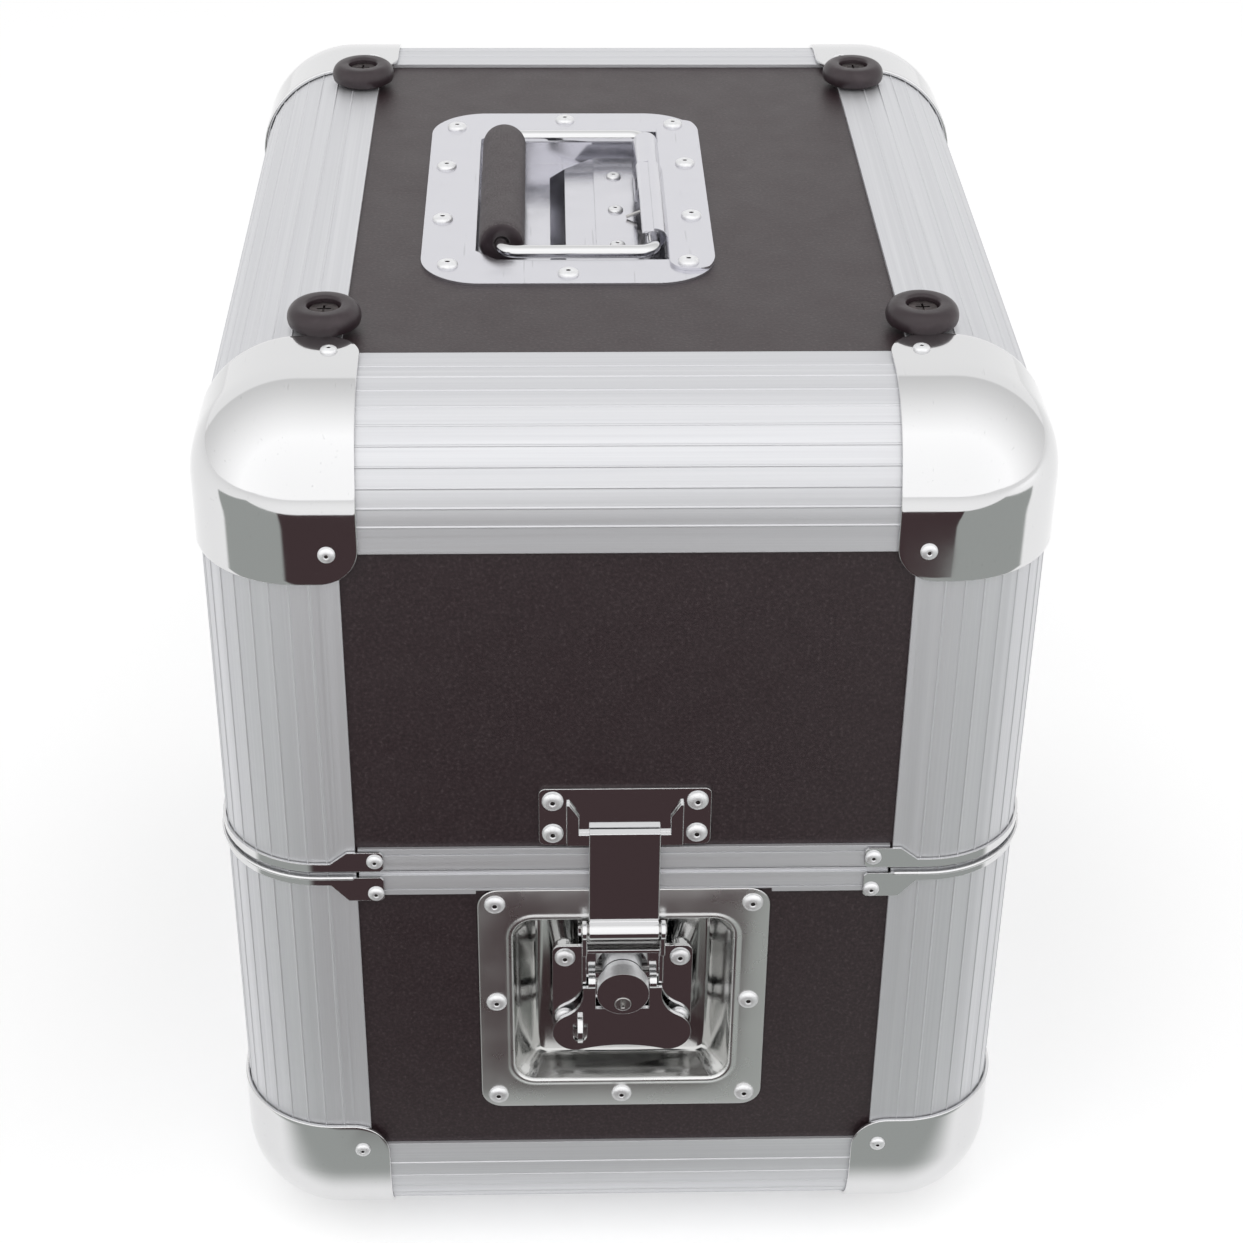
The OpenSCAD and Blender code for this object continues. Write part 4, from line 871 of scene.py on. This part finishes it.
# How wide the rounding is, in millimetres
ROUNDED = {
    "hook": 0.55,
    "keeper_plate": 0.45,
    "latch_base_plate": 0.35,
    "latch_wing": 0.8,
    "latch_barrel": 1.0,
    "key_plug": 0.5,
    "draw_link": 0.3,
    "handle_cover": 0.35,
    "handle_strip": 0.3,
    "base_corner_braces": 0.3,
    "lid_corner_braces": 0.3,
}

for node, width in ROUNDED.items():
    plate = softened(node, width)
    if node == "latch_barrel":
        patch(plate, "rivet", lambda centre, normal: abs(normal.y) < 0.5)


# ---- lining pads ----

# A pad's soft rim, how far its sides pull in and how coarsely it is cut, in millimetres
PAD_RIM, PAD_PULL, PAD_CELL = 7.0, 1.4, 7.0
# Shares of a pad's thickness: its height at the edge, what the soft rim adds and what the crown adds
PAD_EDGE, PAD_SWELL, PAD_CROWN = 0.5, 0.38, 0.12
# Closer cuts at both ends of a stretch, as shares of it
END_CUTS = (0.0, 0.05, 0.13, 0.87, 0.95)
# The lid pad's opening round the handle's well, from and to in x and in y
WELL = (-55.3, 20.3, -64.3, 64.3)


def pad_mesh(low, high, up, hole=None):
    """A foam sheet with a crown, soft rims and sides that pull in between its corners.
    up is +1 where the free face looks up. Sizes are in millimetres."""

    def cuts(a, b, marks):
        ends = sorted([a, b] + [m for m in marks if a < m < b])
        places = []
        for start, end in zip(ends, ends[1:]):
            count = max(4, round((end - start) / PAD_CELL))
            run = END_CUTS + tuple(i / count for i in range(1, count))
            places += sorted({round(start + (end - start) * share, 3) for share in run})
        return places + [ends[-1]]

    xs = cuts(low[0], high[0], hole[:2] if hole else [])
    ys = cuts(low[1], high[1], hole[2:] if hole else [])
    mid = ((low[0] + high[0]) / 2, (low[1] + high[1]) / 2)
    half = ((high[0] - low[0]) / 2, (high[1] - low[1]) / 2)
    thick = high[2] - low[2]

    def in_hole(x, y):
        return hole is not None and hole[0] < x < hole[1] and hole[2] < y < hole[3]

    def to_rim(x, y):
        gap = min(half[0] - abs(x - mid[0]), half[1] - abs(y - mid[1]))
        if hole is not None:
            dx = max(hole[0] - x, x - hole[1], 0.0)
            dy = max(hole[2] - y, y - hole[3], 0.0)
            gap = min(gap, math.hypot(dx, dy))
        return max(gap, 0.0)

    def corner(x, y, free):
        u, v = (x - mid[0]) / half[0], (y - mid[1]) / half[1]
        px = x - PAD_PULL * u ** 7 * (1 - v * v)
        py = y - PAD_PULL * v ** 7 * (1 - u * u)
        near = min(to_rim(x, y) / PAD_RIM, 1.0)
        swell = PAD_SWELL * math.sin(near * math.pi / 2)
        height = thick * (PAD_EDGE + swell + PAD_CROWN * (1 - u * u) * (1 - v * v))
        if free:
            return px, py, low[2] + height if up > 0 else high[2] - height
        return px, py, low[2] if up > 0 else high[2]

    index, verts, faces = {}, [], []

    def point(i, j, free):
        key = (i, j, free)
        if key not in index:
            index[key] = len(verts)
            verts.append(corner(xs[i], ys[j], free))
        return index[key]

    solid = {(i, j) for i in range(len(xs) - 1) for j in range(len(ys) - 1)
             if not in_hole((xs[i] + xs[i + 1]) / 2, (ys[j] + ys[j + 1]) / 2)}
    for i, j in solid:
        square = ((i, j), (i + 1, j), (i + 1, j + 1), (i, j + 1))
        faces.append([point(a, b, True) for a, b in square])
        faces.append([point(a, b, False) for a, b in reversed(square)])
        for k, (di, dj) in enumerate(((0, -1), (1, 0), (0, 1), (-1, 0))):
            if (i + di, j + dj) not in solid:
                (a, b), (c, d) = square[k], square[(k + 1) % 4]
                faces.append([point(a, b, False), point(c, d, False), point(c, d, True), point(a, b, True)])
    return verts, faces


def dress_pad(node, up, hole=None):
    low, high = (tuple(c / MM for c in corner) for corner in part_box(node))
    obj = mesh_piece(node + "_foam", *pad_mesh(low, high, up, hole), sharp=70.0)
    stands_for(obj, node)


dress_pad("base_floor_pad", 1)
dress_pad("lid_top_pad", -1, WELL)


# ---- stage ----


def lay_floor(size, mat):
    bpy.ops.mesh.primitive_plane_add(size=1.0)
    obj = bpy.context.object
    obj.name = "floor"
    obj.scale = (size, size, 1.0)
    obj.data.materials.append(mat)


def looked_at(nodes, links):
    """1 for the rays of camera, mirror and glass, 0 for the rest."""
    path = nodes.new("ShaderNodeLightPath")
    last = path.outputs["Is Camera Ray"]
    for output in ("Is Glossy Ray", "Is Transmission Ray"):
        most = nodes.new("ShaderNodeMath")
        most.operation = "MAXIMUM"
        links.new(last, most.inputs[0])
        links.new(path.outputs[output], most.inputs[1])
        last = most.outputs[0]
    return last


def floor_material(color, lift):
    """Pale floor that reaches white where nothing shades it, and keeps the shadow."""
    s = Shader("floor", color, roughness=0.9)
    s.set("Specular IOR Level", 0.0)
    glow = s.nodes.new("ShaderNodeEmission")
    level = s.nodes.new("ShaderNodeMath")
    level.operation = "MULTIPLY"
    level.inputs[1].default_value = lift
    s.link(looked_at(s.nodes, s.links), level.inputs[0])
    s.link(level.outputs[0], glow.inputs["Strength"])
    both = s.nodes.new("ShaderNodeAddShader")
    s.link(s.bsdf.outputs[0], both.inputs[0])
    s.link(glow.outputs[0], both.inputs[1])
    s.link(both.outputs[0], s.nodes["Material Output"].inputs["Surface"])
    s.mat.cycles.emission_sampling = "NONE"
    return s.mat


def faded(nodes, links, place, edges):
    """A level that rises from 0 to 1 over each edge, given as an axis of the place and its two ends."""
    level = None
    for axis, low, high in edges:
        edge = nodes.new("ShaderNodeMapRange")
        edge.interpolation_type = "SMOOTHSTEP"
        edge.inputs["From Min"].default_value = low
        edge.inputs["From Max"].default_value = high
        links.new(place.outputs[axis], edge.inputs["Value"])
        if level is None:
            level = edge.outputs["Result"]
            continue
        both = nodes.new("ShaderNodeMath")
        both.operation = "MULTIPLY"
        links.new(level, both.inputs[0])
        links.new(edge.outputs["Result"], both.inputs[1])
        level = both.outputs[0]
    return level


# Where a card fades out, as shares of its width and its depth
CARD_EDGES = (("X", 0.0, 0.05), ("X", 1.0, 0.95), ("Y", 0.0, 0.05), ("Y", 1.0, 0.97))


def card_material(name, color):
    """A glow of one colour with soft edges, for metal to mirror."""
    mat = bpy.data.materials.new(name)
    mat.use_nodes = True
    nodes, links = mat.node_tree.nodes, mat.node_tree.links
    nodes.clear()
    place = nodes.new("ShaderNodeSeparateXYZ")
    links.new(nodes.new("ShaderNodeTexCoord").outputs["UV"], place.inputs[0])
    mask = faded(nodes, links, place, CARD_EDGES)
    glow = nodes.new("ShaderNodeEmission")
    glow.inputs["Color"].default_value = (*color, 1.0)
    clear = nodes.new("ShaderNodeBsdfTransparent")
    mix = nodes.new("ShaderNodeMixShader")
    links.new(mask, mix.inputs[0])
    links.new(clear.outputs[0], mix.inputs[1])
    links.new(glow.outputs[0], mix.inputs[2])
    out = nodes.new("ShaderNodeOutputMaterial")
    links.new(mix.outputs[0], out.inputs["Surface"])
    mat.cycles.emission_sampling = "NONE"
    return mat


def reflected(name, height, corners, color):
    """A card just above the floor that only mirror rays see. Its corners go round in metres, first the
    two nearer the case."""
    mesh = bpy.data.meshes.new(name)
    mesh.from_pydata([(x, y, height) for x, y in corners], [], [(0, 1, 2, 3)])
    across = mesh.uv_layers.new(name="across")
    for loop, place in zip(across.data, ((0, 0), (1, 0), (1, 1), (0, 1))):
        loop.uv = place
    mesh.materials.append(card_material(name, color))
    card = bpy.data.objects.new(name, mesh)
    SCENE.collection.objects.link(card)
    card.visible_camera = False
    card.visible_diffuse = False
    card.visible_transmission = False
    card.visible_volume_scatter = False
    card.visible_shadow = False


def soft_light(name, aim, place, size, radiance):
    """An area lamp whose face has the given brightness, where 1 is white. Mirrors don't show it."""
    data = bpy.data.lights.new(name, "AREA")
    data.shape = "RECTANGLE"
    data.size, data.size_y = size
    data.energy = radiance * math.pi * size[0] * size[1]
    obj = bpy.data.objects.new(name, data)
    SCENE.collection.objects.link(obj)
    obj.location = place
    obj.rotation_euler = (Vector(aim) - Vector(place)).to_track_quat("-Z", "Y").to_euler()
    obj.visible_glossy = False


# What mirrors see of the room, by the way they look: from the front, -1, to the back, 1.
# Each stop is that way and a brightness, where 1 is white: bright in front, dull overhead, white behind.
ROOM = ((-1.0, 1.32), (-0.5, 1.4), (0.3, 0.92), (0.62, 0.78), (0.65, 1.03))
ROOM_BRIGHTEST = max(level for _, level in ROOM)
# The strength of the fill light from all round
FILL = 0.7


def set_world(strength):
    """A white backdrop for the camera, the room for mirrors, and soft fill light for the rest."""
    world = bpy.data.worlds.new("studio")
    SCENE.world = world
    world.use_nodes = True
    nodes, links = world.node_tree.nodes, world.node_tree.links
    path = nodes.new("ShaderNodeLightPath")
    way = nodes.new("ShaderNodeSeparateXYZ")
    links.new(nodes.new("ShaderNodeTexCoord").outputs["Generated"], way.inputs[0])
    share = nodes.new("ShaderNodeMapRange")
    share.inputs["From Min"].default_value = -1.0
    links.new(way.outputs["Y"], share.inputs["Value"])
    room = nodes.new("ShaderNodeValToRGB")
    stops = room.color_ramp.elements
    while len(stops) < len(ROOM):
        stops.new(0.5)
    for stop, (at, level) in zip(stops, ROOM):
        stop.position = (at + 1) / 2
        stop.color = (*[level / ROOM_BRIGHTEST] * 3, 1.0)
    links.new(share.outputs["Result"], room.inputs["Fac"])
    fill = nodes.new("ShaderNodeMapRange")
    fill.inputs["To Min"].default_value = strength
    fill.inputs["To Max"].default_value = 1.0
    links.new(looked_at(nodes, links), fill.inputs["Value"])
    plain = nodes["Background"]
    plain.inputs["Color"].default_value = (1.0, 1.0, 1.0, 1.0)
    links.new(fill.outputs["Result"], plain.inputs["Strength"])
    shown = nodes.new("ShaderNodeBackground")
    shown.inputs["Strength"].default_value = ROOM_BRIGHTEST
    links.new(room.outputs["Color"], shown.inputs["Color"])
    mix = nodes.new("ShaderNodeMixShader")
    links.new(path.outputs["Is Glossy Ray"], mix.inputs[0])
    links.new(plain.outputs[0], mix.inputs[1])
    links.new(shown.outputs[0], mix.inputs[2])
    links.new(mix.outputs[0], nodes["World Output"].inputs["Surface"])


# Each card's height above the floor, its corners in metres and its glow
PALE_CARD = (0.002, ((-1.5, -0.19), (1.5, -0.19), (1.5, -1.13), (-1.5, -1.13)), (0.4, 0.42, 0.405))
DARK_CARD = (0.004, ((-0.12, -0.24), (0.035, -0.24), (0.364, -1.12), (-0.547, -1.12)), (0.068, 0.045, 0.048))
# Each lamp's place, its size and its brightness
KEY = ((-0.3, -1.5, 2.7), (2.6, 2.2), 1.5)
RIGHT = ((2.4, -0.5, 1.0), (1.2, 1.6), 1.2)
MID_CASE = (0, 0, 0.2)
# The floor's width, its colour and how much it is lifted towards white
FLOOR_SIZE, FLOOR_COLOR, FLOOR_LIFT = 9.0, (0.8, 0.8, 0.8), 0.34

set_world(FILL)
lay_floor(FLOOR_SIZE, floor_material(FLOOR_COLOR, FLOOR_LIFT))
reflected("pale_card", *PALE_CARD)
reflected("dark_card", *DARK_CARD)
soft_light("key", MID_CASE, *KEY)
soft_light("right", MID_CASE, *RIGHT)

SCENE.view_settings.view_transform = "Standard"


# ---- camera ----

# The camera that fits the photo: angles in degrees, the focal length and the frame in the photo's pixels,
# the place in millimetres from the middle of the body's underside
YAW, PITCH, ROLL = 1.921, 32.688, 0.662
FOCAL_PX, PHOTO_PX = 2543.3, 1243.0
CAMERA_PLACE = (-26.6, -918.5, 761.7)
SENSOR = 36.0


def set_camera():
    yaw, pitch, roll = (math.radians(a) for a in (YAW, PITCH, ROLL))
    ahead = Vector((math.sin(yaw) * math.cos(pitch), math.cos(yaw) * math.cos(pitch), -math.sin(pitch)))
    right = Vector((math.cos(yaw), -math.sin(yaw), 0.0))
    up = right.cross(ahead)
    x = math.cos(roll) * right + math.sin(roll) * up
    y = -math.sin(roll) * right + math.cos(roll) * up
    data = bpy.data.cameras.new("camera")
    data.sensor_width = SENSOR
    data.lens = FOCAL_PX / PHOTO_PX * SENSOR
    data.clip_start, data.clip_end = 0.05, 50.0
    cam = bpy.data.objects.new("camera", data)
    SCENE.collection.objects.link(cam)
    place = (Vector(CAMERA_PLACE) + Vector((0, 0, STAND))) * MM
    cam.matrix_world = Matrix.Translation(place) @ Matrix((x, y, -ahead)).transposed().to_4x4()
    SCENE.camera = cam


set_camera()
